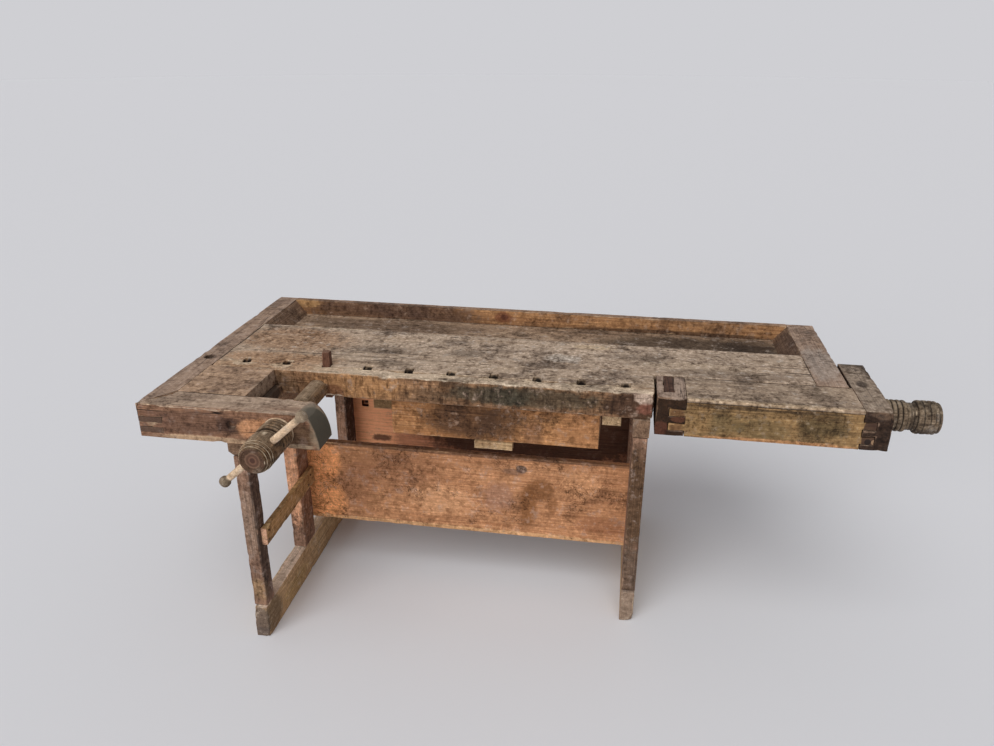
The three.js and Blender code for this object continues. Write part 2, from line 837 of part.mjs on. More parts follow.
// What the tail vise runs on: the guide rail on the notch's side and the nut at the end cap
function addTailGuides() {
  const guideRail = block({
    x: [notchStart + overrun, slabEnd - fitGap],
    y: [guideFront, notchBack],
    z: [guideBottom, guideBottom + guideHeight],
  });
  addPiece('tail_guide_rail', guideRail, finishes.leg);

  const nut = joined([
    block({
      x: [slabEnd + fitGap, rightCapEnd],
      y: [tailBeamBack + nutClearance, notchBack],
      z: [guideBottom, nutTop],
    }),
    block(nutTenon),
  ]);
  const bore = rod(
    screwDiameter + 2 * screwClearance,
    rightCapWidth + 2 * overrun,
    [slabEnd - overrun, tailScrewInset, tailScrewZ],
    [1, 0, 0],
    turnedSides,
  );
  addPiece('tail_nut_block', cut(nut, [bore]), finishes.darkBlock);
}

function addTailScrew() {
  const radius = screwDiameter / 2;
  const groove = grooveDiameter / 2;
  const headStart = endEnd + headGap;
  const tip = headStart - tailShaftLength;
  const grooveSpan = about(garterX - tip, garterThickness + 2 * screwClearance);
  const profile = [
    ...tipProfile(radius),
    [radius, grooveSpan[0]],
    [groove, grooveSpan[0]],
    [groove, grooveSpan[1]],
    [radius, grooveSpan[1]],
    [radius, tailShaftLength],
    ...headProfile(tailHead, tailShaftLength),
  ];
  const screw = turned(profile, [tip, tailScrewInset, tailScrewZ], [1, 0, 0]);
  const holeCentre = [headStart + headLength(tailHead) - tailBarFromEnd, tailScrewInset, tailScrewZ];
  addPiece('tail_screw', cut(screw, [barHole(tailHead, holeCentre, [0, 0, 1])]), finishes.screw);
}

// A leg or post with a shouldered tenon at each end, and the mortises for those tenons
function legSpans({ x, y, bottom, top }) {
  const middle = (x[0] + x[1]) / 2;
  return {
    body: { x, y, z: [bottom + fitGap, top - fitGap] },
    tenon: {
      x: about(middle, tenonThickness),
      y: [y[0] + tenonShoulder, y[1] - tenonShoulder],
      z: [bottom - footTenonLength, top + bearerTenonLength],
    },
  };
}

const leftTrestle = [leftTrestleX, leftTrestleX + legThickness];
const rightTrestle = [rightTrestleX, rightTrestleX + legThickness];
const rearLegY = [rearLegBack - rearLegDepth, rearLegBack];
const leftBearerBottom = slabBottom - leftBearerHeight;
const rightBearerBottom = slabBottom - rightBearerHeight;
const postY = [postFront, postFront + postDepth];
const legs = {
  left_front_post: legSpans({ x: leftTrestle, y: postY, bottom: footHeight, top: leftBearerBottom }),
  left_front_leg: legSpans({
    x: leftTrestle,
    y: [frontLegBack - leftFrontLegDepth, frontLegBack],
    bottom: footHeight,
    top: leftBearerBottom,
  }),
  left_rear_leg: legSpans({ x: leftTrestle, y: rearLegY, bottom: footHeight, top: leftBearerBottom }),
  right_front_leg: legSpans({
    x: rightTrestle,
    y: [frontLegBack - rightFrontLegDepth, frontLegBack],
    bottom: footHeight,
    top: rightBearerBottom,
  }),
  right_rear_leg: legSpans({ x: rightTrestle, y: rearLegY, bottom: footHeight, top: rightBearerBottom }),
};
const mortises = Object.values(legs).map(({ tenon }) => block(widened(tenon, fitGap)));

// Coach screws hold each apron to the back faces of the legs
const apronFaces = { front: frontLegBack + fitGap, rear: rearLegBack + fitGap };
const apronScrewHeights = {
  low: apronBottom + apronScrewInset,
  high: apronBottom + apronHeight - apronScrewInset,
};
const apronScrewPlaces = {};
for (const [apron, face] of Object.entries(apronFaces)) {
  for (const [side, [left, right]] of Object.entries({ left: leftTrestle, right: rightTrestle })) {
    for (const [level, z] of Object.entries(apronScrewHeights)) {
      const seat = face + apronThickness + fitGap;
      apronScrewPlaces[`${apron}_${side}_${level}`] = [(left + right) / 2, seat, z];
    }
  }
}
const apronScrewHoles = Object.values(apronScrewPlaces).map((place) =>
  shankHole(apronScrew, place, [0, -1, 0]),
);

// The side rail is nailed to the front post and the front leg of the left trestle
const sideRailFace = leftTrestle[1] + fitGap;

function addTrestles() {
  const back = rearLegBack + footBackReach;
  const footZ = [0, footHeight];
  const leftFoot = block({ x: leftTrestle, y: [postFront - footFrontReach, back], z: footZ });
  addPiece('left_foot', cut(leftFoot, mortises), finishes.foot);
  const rightFront = legs.right_front_leg.body.y[0];
  const rightFoot = block({ x: rightTrestle, y: [rightFront - footFrontReach, back], z: footZ });
  addPiece('right_foot', cut(rightFoot, mortises), finishes.foot);

  for (const [name, { body, tenon }] of Object.entries(legs)) {
    const leg = joined([block(body), block(tenon)]);
    addPiece(name, cut(leg, apronScrewHoles), finishes.leg);
  }

  const armSeat = capBottom - fitGap;
  const spacerSeat = benchHeight - spacerThickness - fitGap;
  const slabSeat = slabBottom - fitGap;
  const leftBearer = profileAlongX(
    shapeFrom([
      [leftBearerFront + leftBearerChamfer, leftBearerBottom],
      [back, leftBearerBottom],
      [back, slabSeat],
      [-slideClearance, slabSeat],
      [-slideClearance, spacerSeat],
      [armBack + slideClearance, spacerSeat],
      [armBack + slideClearance, armSeat],
      [leftBearerFront, armSeat],
      [leftBearerFront, leftBearerBottom + leftBearerChamfer],
    ]),
    leftTrestle,
  );
  addPiece('left_bearer', cut(leftBearer, mortises), finishes.leg);
  const rightBearer = block({
    x: about((rightTrestle[0] + rightTrestle[1]) / 2, rightBearerThickness),
    y: [rightFront, back],
    z: [rightBearerBottom, slabSeat],
  });
  addPiece('right_bearer', cut(rightBearer, mortises), finishes.leg);

  const sideRail = block({
    x: [sideRailFace, sideRailFace + sideRailThickness],
    y: [postFront + sideRailSetback, frontLegBack - fitGap],
    z: [sideRailBottom, sideRailBottom + sideRailHeight],
  });
  addPiece('side_rail', sideRail, finishes.tailBeam);
}

function addAprons() {
  const x = [leftTrestle[0], rightTrestle[1]];
  const z = [apronBottom, apronBottom + apronHeight];
  const board = (face) => block({ x, y: [face, face + apronThickness], z });
  addPiece('front_apron', cut(board(apronFaces.front), apronScrewHoles), finishes.apron);
  const peepHole = block({
    x: about(peepHoleX, peepHoleSide),
    y: [rearLegBack - overrun, apronFaces.rear + peepHoleDepth],
    z: [peepHoleTop - peepHoleSide, peepHoleTop],
  });
  addPiece('rear_apron', cut(board(apronFaces.rear), [...apronScrewHoles, peepHole]), finishes.apron);
  for (const [name, place] of Object.entries(apronScrewPlaces)) {
    addPiece(`apron_screw_${name}`, fastener(apronScrew, place, [0, -1, 0]), finishes.iron);
  }
}

// The drawer hangs under the slab by battens on its sides, which ride on two L-shaped runners
function addDrawer() {
  const frontTop = slabBottom - drawerHeadroom;
  const frontBottom = frontTop - drawerFrontHeight;
  const boxFront = drawerFrontY + drawerFrontThickness;
  const boxY = [boxFront + fitGap, boxFront + drawerDepth];
  const bottomZ = [frontBottom + drawerBottomLift, frontBottom + drawerBottomLift + drawerBottomThickness];
  const sideZ = [bottomZ[1] + fitGap, bottomZ[1] + fitGap + drawerSideHeight];
  const x = [drawerLeft, drawerRight];
  const front = { x, y: [drawerFrontY, boxFront], z: [frontBottom, frontTop] };
  addPiece('drawer_front', block(front), finishes.drawer);
  addPiece('drawer_bottom', block({ x, y: boxY, z: bottomZ }), finishes.drawer);

  const sides = { left: [drawerLeft, 1], right: [drawerRight, -1] };
  for (const [side, [outer, inwards]] of Object.entries(sides)) {
    const wall = spanBetween(outer, outer + inwards * drawerWall);
    addPiece(`drawer_side_${side}`, block({ x: wall, y: boxY, z: sideZ }), finishes.drawer);
    const hangerX = spanBetween(outer - inwards * fitGap, outer - inwards * (fitGap + hangerWidth));
    const hangerBottom = runnerBottom + runnerLipHeight + headGap;
    const hanger = { x: hangerX, y: boxY, z: [hangerBottom, hangerBottom + hangerHeight] };
    addPiece(`drawer_hanger_${side}`, block(hanger), finishes.tailBeam);
  }
  const back = {
    x: [drawerLeft + drawerWall + fitGap, drawerRight - drawerWall - fitGap],
    y: [boxY[1] - drawerWall, boxY[1]],
    z: sideZ,
  };
  addPiece('drawer_back', block(back), finishes.drawer);
  const pull = {
    x: about((drawerLeft + drawerRight) / 2, pullWidth),
    y: [boxFront - pullDepth, boxFront],
    z: [frontBottom - fitGap - pullHeight, frontBottom - fitGap],
  };
  addPiece('drawer_pull', block(pull), finishes.bar);

  for (const { side, inner, outer, outwards } of runners) {
    const web = inner + outwards * runnerLipWidth;
    const shape = shapeFrom([
      [inner, runnerBottom],
      [outer, runnerBottom],
      [outer, runnerBottom + runnerHeight],
      [web, runnerBottom + runnerHeight],
      [web, runnerBottom + runnerLipHeight],
      [inner, runnerBottom + runnerLipHeight],
    ]);
    const runner = profileAlongY(shape, [runnerFrontY, runnerFrontY + runnerLength]);
    addPiece(`drawer_runner_${side}`, runner, finishes.tailBeam);
  }
}

// The bench dog stands in the hole nearest to its place along the bench
function addBenchDog() {
  const holeInUse = Math.round((dogPlace - firstDogX) / dogPitch);
  const dog = block({
    x: about(dogHoleCentres[holeInUse], dogHoleSide - 2 * dogClearance),
    y: about(dogRowCentre, dogHoleSide - 2 * dogClearance),
    z: [benchHeight + dogProud - dogLength, benchHeight + dogProud],
  });
  addPiece('bench_dog', dog, finishes.darkBlock);
}

addSlab();
addEndCaps();
addTray();
addShoulderArm();
addShoulderScrew();
addTommyBar();
addTailVise();
addTailGuides();
addTailScrew();
addTrestles();
addAprons();
addDrawer();
addBenchDog();

const benchLength = endEnd + headGap + headLength(tailHead);
bench.position.set(-benchLength / 2, -(shoulderHeadEnd + benchBack) / 2, 0);

export default bench;
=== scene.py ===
import bmesh
import bpy
import math
import numpy as np
from mathutils import Matrix, Vector, noise


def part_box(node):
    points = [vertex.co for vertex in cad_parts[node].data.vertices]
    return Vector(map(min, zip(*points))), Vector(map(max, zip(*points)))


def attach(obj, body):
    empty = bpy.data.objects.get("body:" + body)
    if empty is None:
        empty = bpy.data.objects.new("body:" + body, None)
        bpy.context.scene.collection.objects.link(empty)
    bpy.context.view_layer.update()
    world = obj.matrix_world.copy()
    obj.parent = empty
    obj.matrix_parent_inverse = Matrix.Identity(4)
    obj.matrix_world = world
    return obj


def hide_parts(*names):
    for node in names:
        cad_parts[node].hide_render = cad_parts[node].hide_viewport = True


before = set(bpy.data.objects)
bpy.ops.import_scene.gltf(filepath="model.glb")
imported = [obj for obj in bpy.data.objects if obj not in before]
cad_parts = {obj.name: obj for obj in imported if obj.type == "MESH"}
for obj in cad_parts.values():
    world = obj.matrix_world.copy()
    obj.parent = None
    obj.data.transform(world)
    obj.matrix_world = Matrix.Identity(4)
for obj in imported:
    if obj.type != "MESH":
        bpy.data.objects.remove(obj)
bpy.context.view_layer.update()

# Feet
# Two beech sleds, one under each trestle, sawn and planed, with the legs tenoned in from above.
# Years on workshop floors have rounded their arrises and bleached the front ends.
DRAWING_CORNER = Vector((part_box("left_end_cap")[0].x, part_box("slab_front_strip")[0].y, 0.0))


def drawn(x, y, z):
    """A place on the bench drawing, in millimetres from the left cap, the slab's front and the floor."""
    return DRAWING_CORNER + Vector((x, y, z)) / 1000


def tone(red, green, blue):
    """A colour as the eye reads it, 0 to 255, turned into the shader's own numbers."""
    parts = [part / 255 for part in (red, green, blue)]
    return (*[part / 12.92 if part <= 0.04045 else ((part + 0.055) / 1.055) ** 2.4 for part in parts], 1.0)


def shaded(colour, share):
    """The same colour with less or more light in it."""
    return tuple(part * share for part in colour[:3]) + (1.0,)


ARRIS_ANGLE = 0.6
ARRIS_LENGTH = 0.012


def is_arris(edge):
    """An outside corner of the timber, long enough for a hand to have rubbed it round."""
    corner = edge.is_manifold and edge.is_convex and edge.calc_face_angle() > ARRIS_ANGLE
    return corner and edge.calc_length() > ARRIS_LENGTH


THIN_TIMBER = 0.03
FLAT_MARGIN = 0.006


def saw_lines(low, high, step):
    """Where the mesh is cut across, with one extra line close to each end so that flats stay flat."""
    count = max(1, round((high - low) * 1000 / step))
    lines = [low + (high - low) * cut / count for cut in range(1, count)]
    if high - low > THIN_TIMBER:
        lines += [low + FLAT_MARGIN, high - FLAT_MARGIN]
    return lines


def worn_timber(node, arris=2.0, chips=3.0, sag=0.6, step=18, rub=12, dents=(), seed=0):
    """The node's timber with rubbed arrises, chipped edges, hollows and dents; all sizes in millimetres."""
    work = bmesh.new()
    work.from_mesh(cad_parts[node].data)
    bmesh.ops.remove_doubles(work, verts=work.verts, dist=0.00002)
    bmesh.ops.dissolve_limit(work, angle_limit=0.02, verts=work.verts, edges=work.edges)
    arrises = [edge for edge in work.edges if is_arris(edge)]
    ends = np.array([[vert.co[:] for vert in edge.verts] for edge in arrises])
    bmesh.ops.bevel(
        work, geom=arrises, offset=arris / 1000, offset_type="OFFSET", segments=2, profile=0.5,
        affect="EDGES", material=-1, clamp_overlap=True,
    )
    low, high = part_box(node)
    for axis in sorted(range(3), key=lambda side: high[side] - low[side]):
        across = Vector((0, 0, 0))
        across[axis] = 1
        for line in saw_lines(low[axis], high[axis], step):
            everything = [*work.verts, *work.edges, *work.faces]
            bmesh.ops.bisect_plane(work, geom=everything, dist=1e-6, plane_co=across * line, plane_no=across)
    bmesh.ops.triangulate(work, faces=[face for face in work.faces if len(face.verts) > 4])
    work.normal_update()
    places = np.array([vert.co[:] for vert in work.verts])
    nearest = np.ones(len(places))
    for start, end in ends:
        run = end - start
        along = np.clip((places - start) @ run / (run @ run), 0, 1)
        nearest = np.minimum(nearest, np.linalg.norm(places - start - along[:, None] * run, axis=1))
    hollows = np.zeros(len(places))
    for middle, reach, hollow in dents:
        away = (places - np.array(drawn(*middle))) * 1000 / np.array(reach)
        hollows += hollow * np.maximum(0, 1 - (away**2).sum(axis=1)) ** 2
    wear = work.verts.layers.float.new("wear")
    fine, middling, broad = 38, 12, 9
    shift = Vector((3.1, 1.7, 2.3)) * seed
    for vert, gap, hollow in zip(work.verts, nearest, hollows):
        place = vert.co + shift
        edge = max(0.0, 1 - gap * 1000 / rub)
        rough = 0.6 * noise.noise(place * fine) + 0.6 * noise.noise(place * middling)
        chip = min(1.0, max(0.0, (rough - 0.1) / 0.45))
        depth = sag * (0.5 + 0.5 * noise.noise(place * broad)) + chips * chip * edge * edge + hollow
        vert[wear] = edge * (0.45 + 0.55 * chip)
        vert.co -= vert.normal * (depth / 1000)
    return work


def join(tree, kind, *values, out=0, **settings):
    """Adds one shader node, sets or links its sockets in order, and gives back one of its outputs."""
    node = tree.nodes.new("ShaderNode" + kind)
    for setting, value in settings.items():
        setattr(node, setting, value)
    for socket, value in zip(node.inputs, values):
        if isinstance(value, bpy.types.NodeSocket):
            tree.links.new(value, socket)
        elif value is not None:
            socket.default_value = value
    return node.outputs[out]


def lay_over(tree, amount, under, over, way="MIX"):
    """One colour laid over another by an amount from 0 to 1."""
    skipped = [None] * 5
    return join(tree, "Mix", amount, *skipped, under, over, out=2, data_type="RGBA", blend_type=way)


def between(tree, value, low, high, top=1.0):
    """A soft step from 0 to top as the value goes from low to high."""
    return join(tree, "MapRange", value, low, high, 0.0, top, interpolation_type="SMOOTHSTEP")


def times(tree, one, other):
    """Two amounts multiplied, so that both have to be there."""
    return join(tree, "Math", one, other, operation="MULTIPLY")


def off_middle(tree, value):
    """How far a noise is from its middle, which draws thin lines where it crosses."""
    return join(tree, "Math", join(tree, "Math", value, 0.5, operation="SUBTRACT"), operation="ABSOLUTE")


def mottle(tree, over, scale, detail, rough, curl=0.0, out=0):
    """A cloudy noise with so many waves to the metre of the coordinates it lies over."""
    skipped = [None] * 3
    return join(tree, "TexNoise", over, None, scale, detail, rough, *skipped, curl, out=out)


def new_finish(name):
    """An empty finish, its node tree and its surface shader."""
    finish = bpy.data.materials.new(name)
    finish.use_nodes = True
    return finish, finish.node_tree, finish.node_tree.nodes["Principled BSDF"]


def emboss(tree, shader, height, strength, distance):
    """Lets a height stand out of the surface as fine relief."""
    bump = tree.nodes.new("ShaderNodeBump")
    bump.inputs["Strength"].default_value = strength
    bump.inputs["Distance"].default_value = distance
    tree.links.new(height, bump.inputs["Height"])
    tree.links.new(bump.outputs["Normal"], shader.inputs["Normal"])


GRIME = (0.28, 0.24, 0.21, 1.0)
# Painted glints: this colour multiplies small grit flecks brighter than the wood under them.
GLINT_FLECKS = (1.75, 1.85, 1.95, 1.0)
THREAD_DARK = (0.4, 0.38, 0.36, 1.0)
THREAD_LIGHT = (1.4, 1.4, 1.4, 1.0)
CRISP = 0.2
DULLNESS = 0.8


def old_wood(
    name, pale, body, dark, along, heart, ring=5.0, rings=0.2, streaks=0.4, blotches=0.65, specks=0.7,
    flecks_and_glints=0.45, ends=0.35, scuffs=0.0, greyed=None, rubbed=None, drips=None, cracks=0.5, marks=(),
):
    """Old solid wood: growth rings about its heart, fibres and streaks along the grain, dirt, dust and wear.
    Tones are three numbers from 0 to 255; ring is the width of a year's growth in millimetres.
    Marks are stains at a drawn place, and some of them are painted shade and painted light instead:
    (middle, reach, tone, amount, raggedness). Ragged ones are laid before the dirt came, crisp ones lie on
    top of it."""
    pale, body, dark = [tone(*shade) for shade in (pale, body, dark)]
    wood, tree, shader = new_finish(name)
    shader.inputs["Specular IOR Level"].default_value = 0.2
    source = tree.nodes.new("ShaderNodeTexCoord")
    coords = source.outputs["Object"]
    facing = join(tree, "SeparateXYZ", source.outputs["Normal"]).node
    unmoved = (0.0, 0.0, 0.0)

    def grain(length, width, detail=4.0, rough=0.65, over=coords, out=0):
        scale = [1000 / (length if axis == along else width) for axis in "XYZ"]
        laid = join(tree, "Mapping", over, unmoved, unmoved, scale)
        return mottle(tree, laid, 1.0, detail, rough, out=out)

    def spread(size, detail, rough):
        return mottle(tree, coords, 1000 / size, detail, rough)

    drift = join(tree, "VectorMath", grain(1250, 200, 2, 0.5, out=1), None, None, 0.05, operation="SCALE")
    bent = join(tree, "VectorMath", coords, drift, operation="ADD")
    about_heart = join(tree, "Mapping", bent, -drawn(*heart))
    growth = join(
        tree, "TexWave", about_heart, math.tau * 50 / ring, 0.0,
        wave_type="RINGS", rings_direction=along, wave_profile="SAW",
    )
    fibre = grain(300, 4.5, 5, 0.7, bent)
    cloud = spread(140, 8, 0.68)
    dapple = spread(32, 6, 0.7)
    grit = spread(11, 4, 0.65)
    dust = tuple(0.55 * part + 0.45 * sum(pale[:3]) / 3 for part in pale[:3]) + (1.0,)

    # Lays the marks on: real stains, and the marks that are painted shade and painted light.
    def stains_and_painted_light(colour, spots):
        for middle, reach, mark_tone, amount, ragged in spots:
            scale = [1000 / side for side in reach]
            place = drawn(*middle)
            shift = [-place[side] * scale[side] for side in range(3)]
            around = join(tree, "Mapping", coords, shift, unmoved, scale)
            away = join(tree, "VectorMath", around, operation="LENGTH", out=1)
            inner = join(tree, "Math", away, ragged, operation="SUBTRACT")
            edge = join(tree, "Math", dapple, ragged * 2, inner, operation="MULTIPLY_ADD")
            marked = between(tree, edge, 1.05, 0.95 - 0.45 * ragged, amount)
            colour = lay_over(tree, marked, colour, tone(*mark_tone))
        return colour

    colour = lay_over(tree, between(tree, fibre, 0.34, 0.64), body, pale)
    colour = lay_over(tree, between(tree, growth, 0.5, 1.0, rings), colour, dark)
    if greyed:
        patchy = between(tree, grain(500, 80, 6, 0.7), 0.3, 0.52)
        upward = between(tree, facing.outputs["Z"], 0.35, 0.9, 0.85)
        colour = lay_over(tree, times(tree, upward, patchy), colour, tone(*greyed))
    colour = lay_over(tree, between(tree, grain(700, 40, 6), 0.48, 0.7, streaks), colour, dark)
    colour = lay_over(tree, between(tree, grain(110, 16, 5, 0.7), 0.54, 0.7, streaks * 0.45), colour, dark)
    end_grain = join(tree, "Math", facing.outputs[along], operation="ABSOLUTE")
    colour = lay_over(tree, between(tree, end_grain, 0.6, 0.9, ends), colour, dark)
    colour = lay_over(tree, between(tree, cloud, 0.47, 0.68, blotches), colour, dark)
    colour = stains_and_painted_light(colour, [mark for mark in marks if mark[-1] > CRISP])
    colour = lay_over(tree, between(tree, dapple, 0.48, 0.66, blotches), colour, GRIME, "MULTIPLY")
    colour = lay_over(tree, between(tree, dapple, 0.46, 0.34, flecks_and_glints), colour, dust)
    if drips:
        smeared = join(tree, "Mapping", coords, unmoved, unmoved, (60, 60, 14))
        runs = between(tree, mottle(tree, smeared, 1.0, 7, 0.75), 0.46, 0.66)
        lying = join(tree, "Math", facing.outputs["Z"], operation="ABSOLUTE")
        upright = between(tree, lying, 0.6, 0.2, drips)
        colour = lay_over(tree, times(tree, upright, runs), colour, GRIME, "MULTIPLY")
    wear = join(tree, "Attribute", attribute_name="wear", out=2)
    if rubbed:
        touched = times(tree, wear, dapple)
        colour = lay_over(tree, between(tree, touched, 0.2, 0.4, 0.85), colour, tone(*rubbed))
    fouled = times(tree, between(tree, grit, 0.51, 0.65, specks), between(tree, cloud, 0.36, 0.58))
    colour = lay_over(tree, fouled, colour, GRIME, "MULTIPLY")
    # painted glints on small grit flecks
    colour = lay_over(tree, between(tree, grit, 0.47, 0.34, flecks_and_glints), colour, GLINT_FLECKS, "MULTIPLY")
    if scuffs:
        curls = off_middle(tree, mottle(tree, coords, 30, 3, 0.6, curl=1.5))
        scored = times(tree, between(tree, curls, 0.03, 0.006, scuffs), between(tree, cloud, 0.46, 0.58))
        colour = lay_over(tree, scored, colour, GRIME, "MULTIPLY")
    split = between(tree, off_middle(tree, grain(1400, 33, 2, 0.5)), 0.008, 0.0)
    opened = times(tree, split, between(tree, grain(500, 110, 3), 0.49, 0.57, cracks))
    colour = lay_over(tree, opened, colour, shaded(dark, 0.2))
    threads = between(tree, grain(140, 2.4, 3, 0.7), 0.3, 0.7)
    colour = lay_over(tree, 0.4, colour, lay_over(tree, threads, THREAD_DARK, THREAD_LIGHT), "MULTIPLY")
    colour = stains_and_painted_light(colour, [mark for mark in marks if mark[-1] <= CRISP])
    colour = lay_over(tree, between(tree, wear, -0.05, -0.55, 0.92), colour, shaded(dark, 0.3))

    tree.links.new(colour, shader.inputs["Base Color"])
    dull = join(tree, "MapRange", dapple, 0.2, 0.8, DULLNESS - 0.1, DULLNESS + 0.12)
    tree.links.new(dull, shader.inputs["Roughness"])
    height = join(tree, "Math", fibre, 0.6, times(tree, growth, 0.25), operation="MULTIPLY_ADD")
    for bumps, share in ((dapple, 0.8), (grit, 0.45), (opened, -1.6)):
        height = join(tree, "Math", bumps, share, height, operation="MULTIPLY_ADD")
    emboss(tree, shader, height, strength=0.5, distance=0.0016)
    return wood


def placed(name, data):
    """Puts a mesh, lamp or camera into the scene."""
    thing = bpy.data.objects.new(name, data)
    bpy.context.scene.collection.objects.link(thing)
    return thing


def set_piece(work, name, body, finish, slot, *nodes):
    """Makes the shaped timber a piece of the bench that moves with its body and stands for its nodes."""
    mesh = bpy.data.meshes.new(name)
    work.to_mesh(mesh)
    work.free()
    mesh.shade_smooth()
    mesh.set_sharp_from_angle(angle=0.75)
    mesh.materials.append(finish)
    piece = placed(name, mesh)
    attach(piece, body)
    if nodes:
        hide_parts(*nodes)


def fit_timber(node, name, body, finish, slot, **wear):
    """Wears a node's timber and sets it in the bench as a piece."""
    set_piece(worn_timber(node, **wear), name, body, finish, slot, node)


foot_finish = old_wood(
    "bleached_foot_wood", (206, 172, 130), (176, 139, 99), (92, 69, 50), "Y", (278, 0, -150),
    ring=7, rings=0.3, streaks=0.2, blotches=0.3, specks=0.4, ends=0.1, greyed=(226, 202, 182),
    rubbed=(214, 188, 160), cracks=0.5,
    marks=[
        ((278, -278, 50), (40, 12, 80), (92, 80, 75), 0.8, 0.7),
        ((1404, -18, 55), (60, 30, 100), (140, 121, 108), 0.8, 0.5),
        ((278, -278, 20), (40, 12, 20), (98, 86, 80), 0.6, 0.8),
        ((300, -235, 60), (8, 70, 70), (84, 70, 56), 0.65, 0.6),
        ((300, -60, 40), (8, 120, 40), (176, 146, 96), 0.5, 0.7),
    ],
)
foot_dents = [
    ((256, -278, 113), (24, 26, 40), 9),
    ((300, -278, 8), (16, 20, 20), 5),
    ((1426, -18, 4), (22, 22, 22), 9),
]
for side in ("left", "right"):
    fit_timber(
        f"{side}_foot", f"{side}_foot_sled", "bench", foot_finish, "foot_wood",
        arris=3, chips=5, sag=1, step=16, dents=foot_dents, seed=len(side),
    )

# Legs and the front post
# Five uprights of red-brown beech, tenoned into the feet and the bearers.
# Their faces are mottled with old oil and glue, with painted shade on the inner side of the post and the rear
# leg, and the arrises are rubbed pale.
leg_finish = old_wood(
    "oiled_leg_wood", (168, 131, 107), (136, 103, 84), (70, 51, 42), "Z", (200, 60, 300),
    streaks=0.35, blotches=0.55, specks=0.75, flecks_and_glints=0.65, rubbed=(182, 148, 122),
    marks=[
        ((278, -268, 170), (40, 30, 50), (174, 142, 100), 0.4, 0.9),
        ((278, -268, 420), (40, 14, 150), (140, 120, 104), 0.5, 0.9),
        # painted shade on the front post's inner side, away from the window
        ((300, -243, 430), (8, 60, 330), (60, 48, 42), 0.7, 0.3),
        ((300, 88, 380), (8, 80, 330), (138, 98, 72), 0.6, 0.6),
        # painted shade, near black, on the left rear leg's inner side beside the rear apron
        ((300, 560, 380), (8, 80, 330), (44, 32, 28), 0.8, 0.3),
        ((278, 44, 430), (30, 14, 280), (220, 162, 124), 0.85, 0.7),
        ((1404, -8, 450), (60, 40, 220), (75, 53, 31), 0.8, 0.8),
        ((1404, -8, 180), (60, 30, 130), (84, 71, 59), 0.7, 0.9),
    ],
)
uprights = ("left_front_post", "left_front_leg", "left_rear_leg", "right_front_leg", "right_rear_leg")
for seed, leg in enumerate(uprights, start=11):
    fit_timber(
        leg, f"{leg}_upright", "bench", leg_finish, "leg_wood",
        arris=2.5, chips=4, sag=1, step=16, seed=seed,
    )

# Bearers
# One beech rail across the top of each trestle, mortised for the legs; the slab only rests on them.
# The left one runs forward under the shoulder vise arm and has a sawn chamfer at its front end.
bearer_finish = old_wood(
    "bearer_wood", (172, 138, 110), (140, 108, 84), (70, 52, 42), "Y", (330, 0, 600),
    ring=6, greyed=(152, 128, 108), rubbed=(176, 144, 116),
    # painted shade on the left bearer's top, where it lies under the spacer block
    marks=[((278, -100, 735), (40, 116, 30), (46, 35, 29), 0.85, 0.2)],
)
for side in ("left", "right"):
    fit_timber(
        f"{side}_bearer", f"{side}_bearer_rail", "bench", bearer_finish, "leg_wood",
        arris=2, chips=3, sag=0.8, seed=21 + len(side),
    )

# Side rail
# A thin pine batten nailed across the left post and front leg, yellowed, with a freshly sawn end.
# Four clenched nails hold it, two at each end.
rail_finish = old_wood(
    "nailed_rail_wood", (202, 160, 108), (168, 127, 85), (84, 61, 43), "Y", (330, 0, 250),
    ring=4, rings=0.35, streaks=0.55, ends=0.0, rubbed=(220, 184, 136),
    marks=[((309, -258, 360), (30, 12, 50), (224, 174, 144), 0.85, 0.4)],
)
fit_timber(
    "side_rail", "side_rail_batten", "bench", rail_finish, "pine",
    arris=1.2, chips=2, sag=0.8, step=14, seed=31,
)


def rusty_iron(name, bright, rust):
    """Black iron gone brown: pitted, dull, with rust in blotches."""
    iron, tree, shader = new_finish(name)
    shader.inputs["Metallic"].default_value = 0.75
    coords = join(tree, "TexCoord", out=3)
    pits = mottle(tree, coords, 420, 4, 0.65)
    bloom = mottle(tree, coords, 90, 5, 0.6)
    colour = lay_over(tree, between(tree, bloom, 0.4, 0.6), tone(*bright), tone(*rust))
    colour = lay_over(tree, between(tree, pits, 0.55, 0.7, 0.6), colour, tone(38, 28, 24))
    tree.links.new(colour, shader.inputs["Base Color"])
    tree.links.new(join(tree, "MapRange", bloom, 0.3, 0.7, 0.45, 0.85), shader.inputs["Roughness"])
    emboss(tree, shader, pits, strength=0.4, distance=0.0004)
    return iron


def turned(profile, foot, way, sides):
    """A round piece standing on foot along way, from its profile: (distance along, radius) in millimetres,
    and where it matters how rubbed the wood is there, below nothing for dirt."""
    work = bmesh.new()
    wear = work.verts.layers.float.new("wear")
    verts = []
    for along, radius, *rub in profile:
        vert = work.verts.new((radius / 1000, 0, along / 1000))
        vert[wear] = rub[0] if rub else 0.0
        verts.append(vert)
    edges = [work.edges.new(pair) for pair in zip(verts, verts[1:])]
    bmesh.ops.spin(
        work, geom=verts + edges, cent=(0, 0, 0), axis=(0, 0, 1), dvec=(0, 0, 0),
        angle=math.tau, steps=sides, use_merge=True,
    )
    bmesh.ops.remove_doubles(work, verts=work.verts, dist=0.00001)
    bmesh.ops.recalc_face_normals(work, faces=work.faces)
    stand = Vector((0, 0, 1)).rotation_difference(Vector(way)).to_matrix().to_4x4()
    bmesh.ops.transform(work, matrix=Matrix.Translation(foot) @ stand, verts=work.verts)
    return work


def gathered(works):
    """Several small shapes of one kind put together as one piece."""
    whole = bmesh.new()
    for work in works:
        scrap = bpy.data.meshes.new("scrap")
        work.to_mesh(scrap)
        work.free()
        whole.from_mesh(scrap)
        bpy.data.meshes.remove(scrap)
    return whole


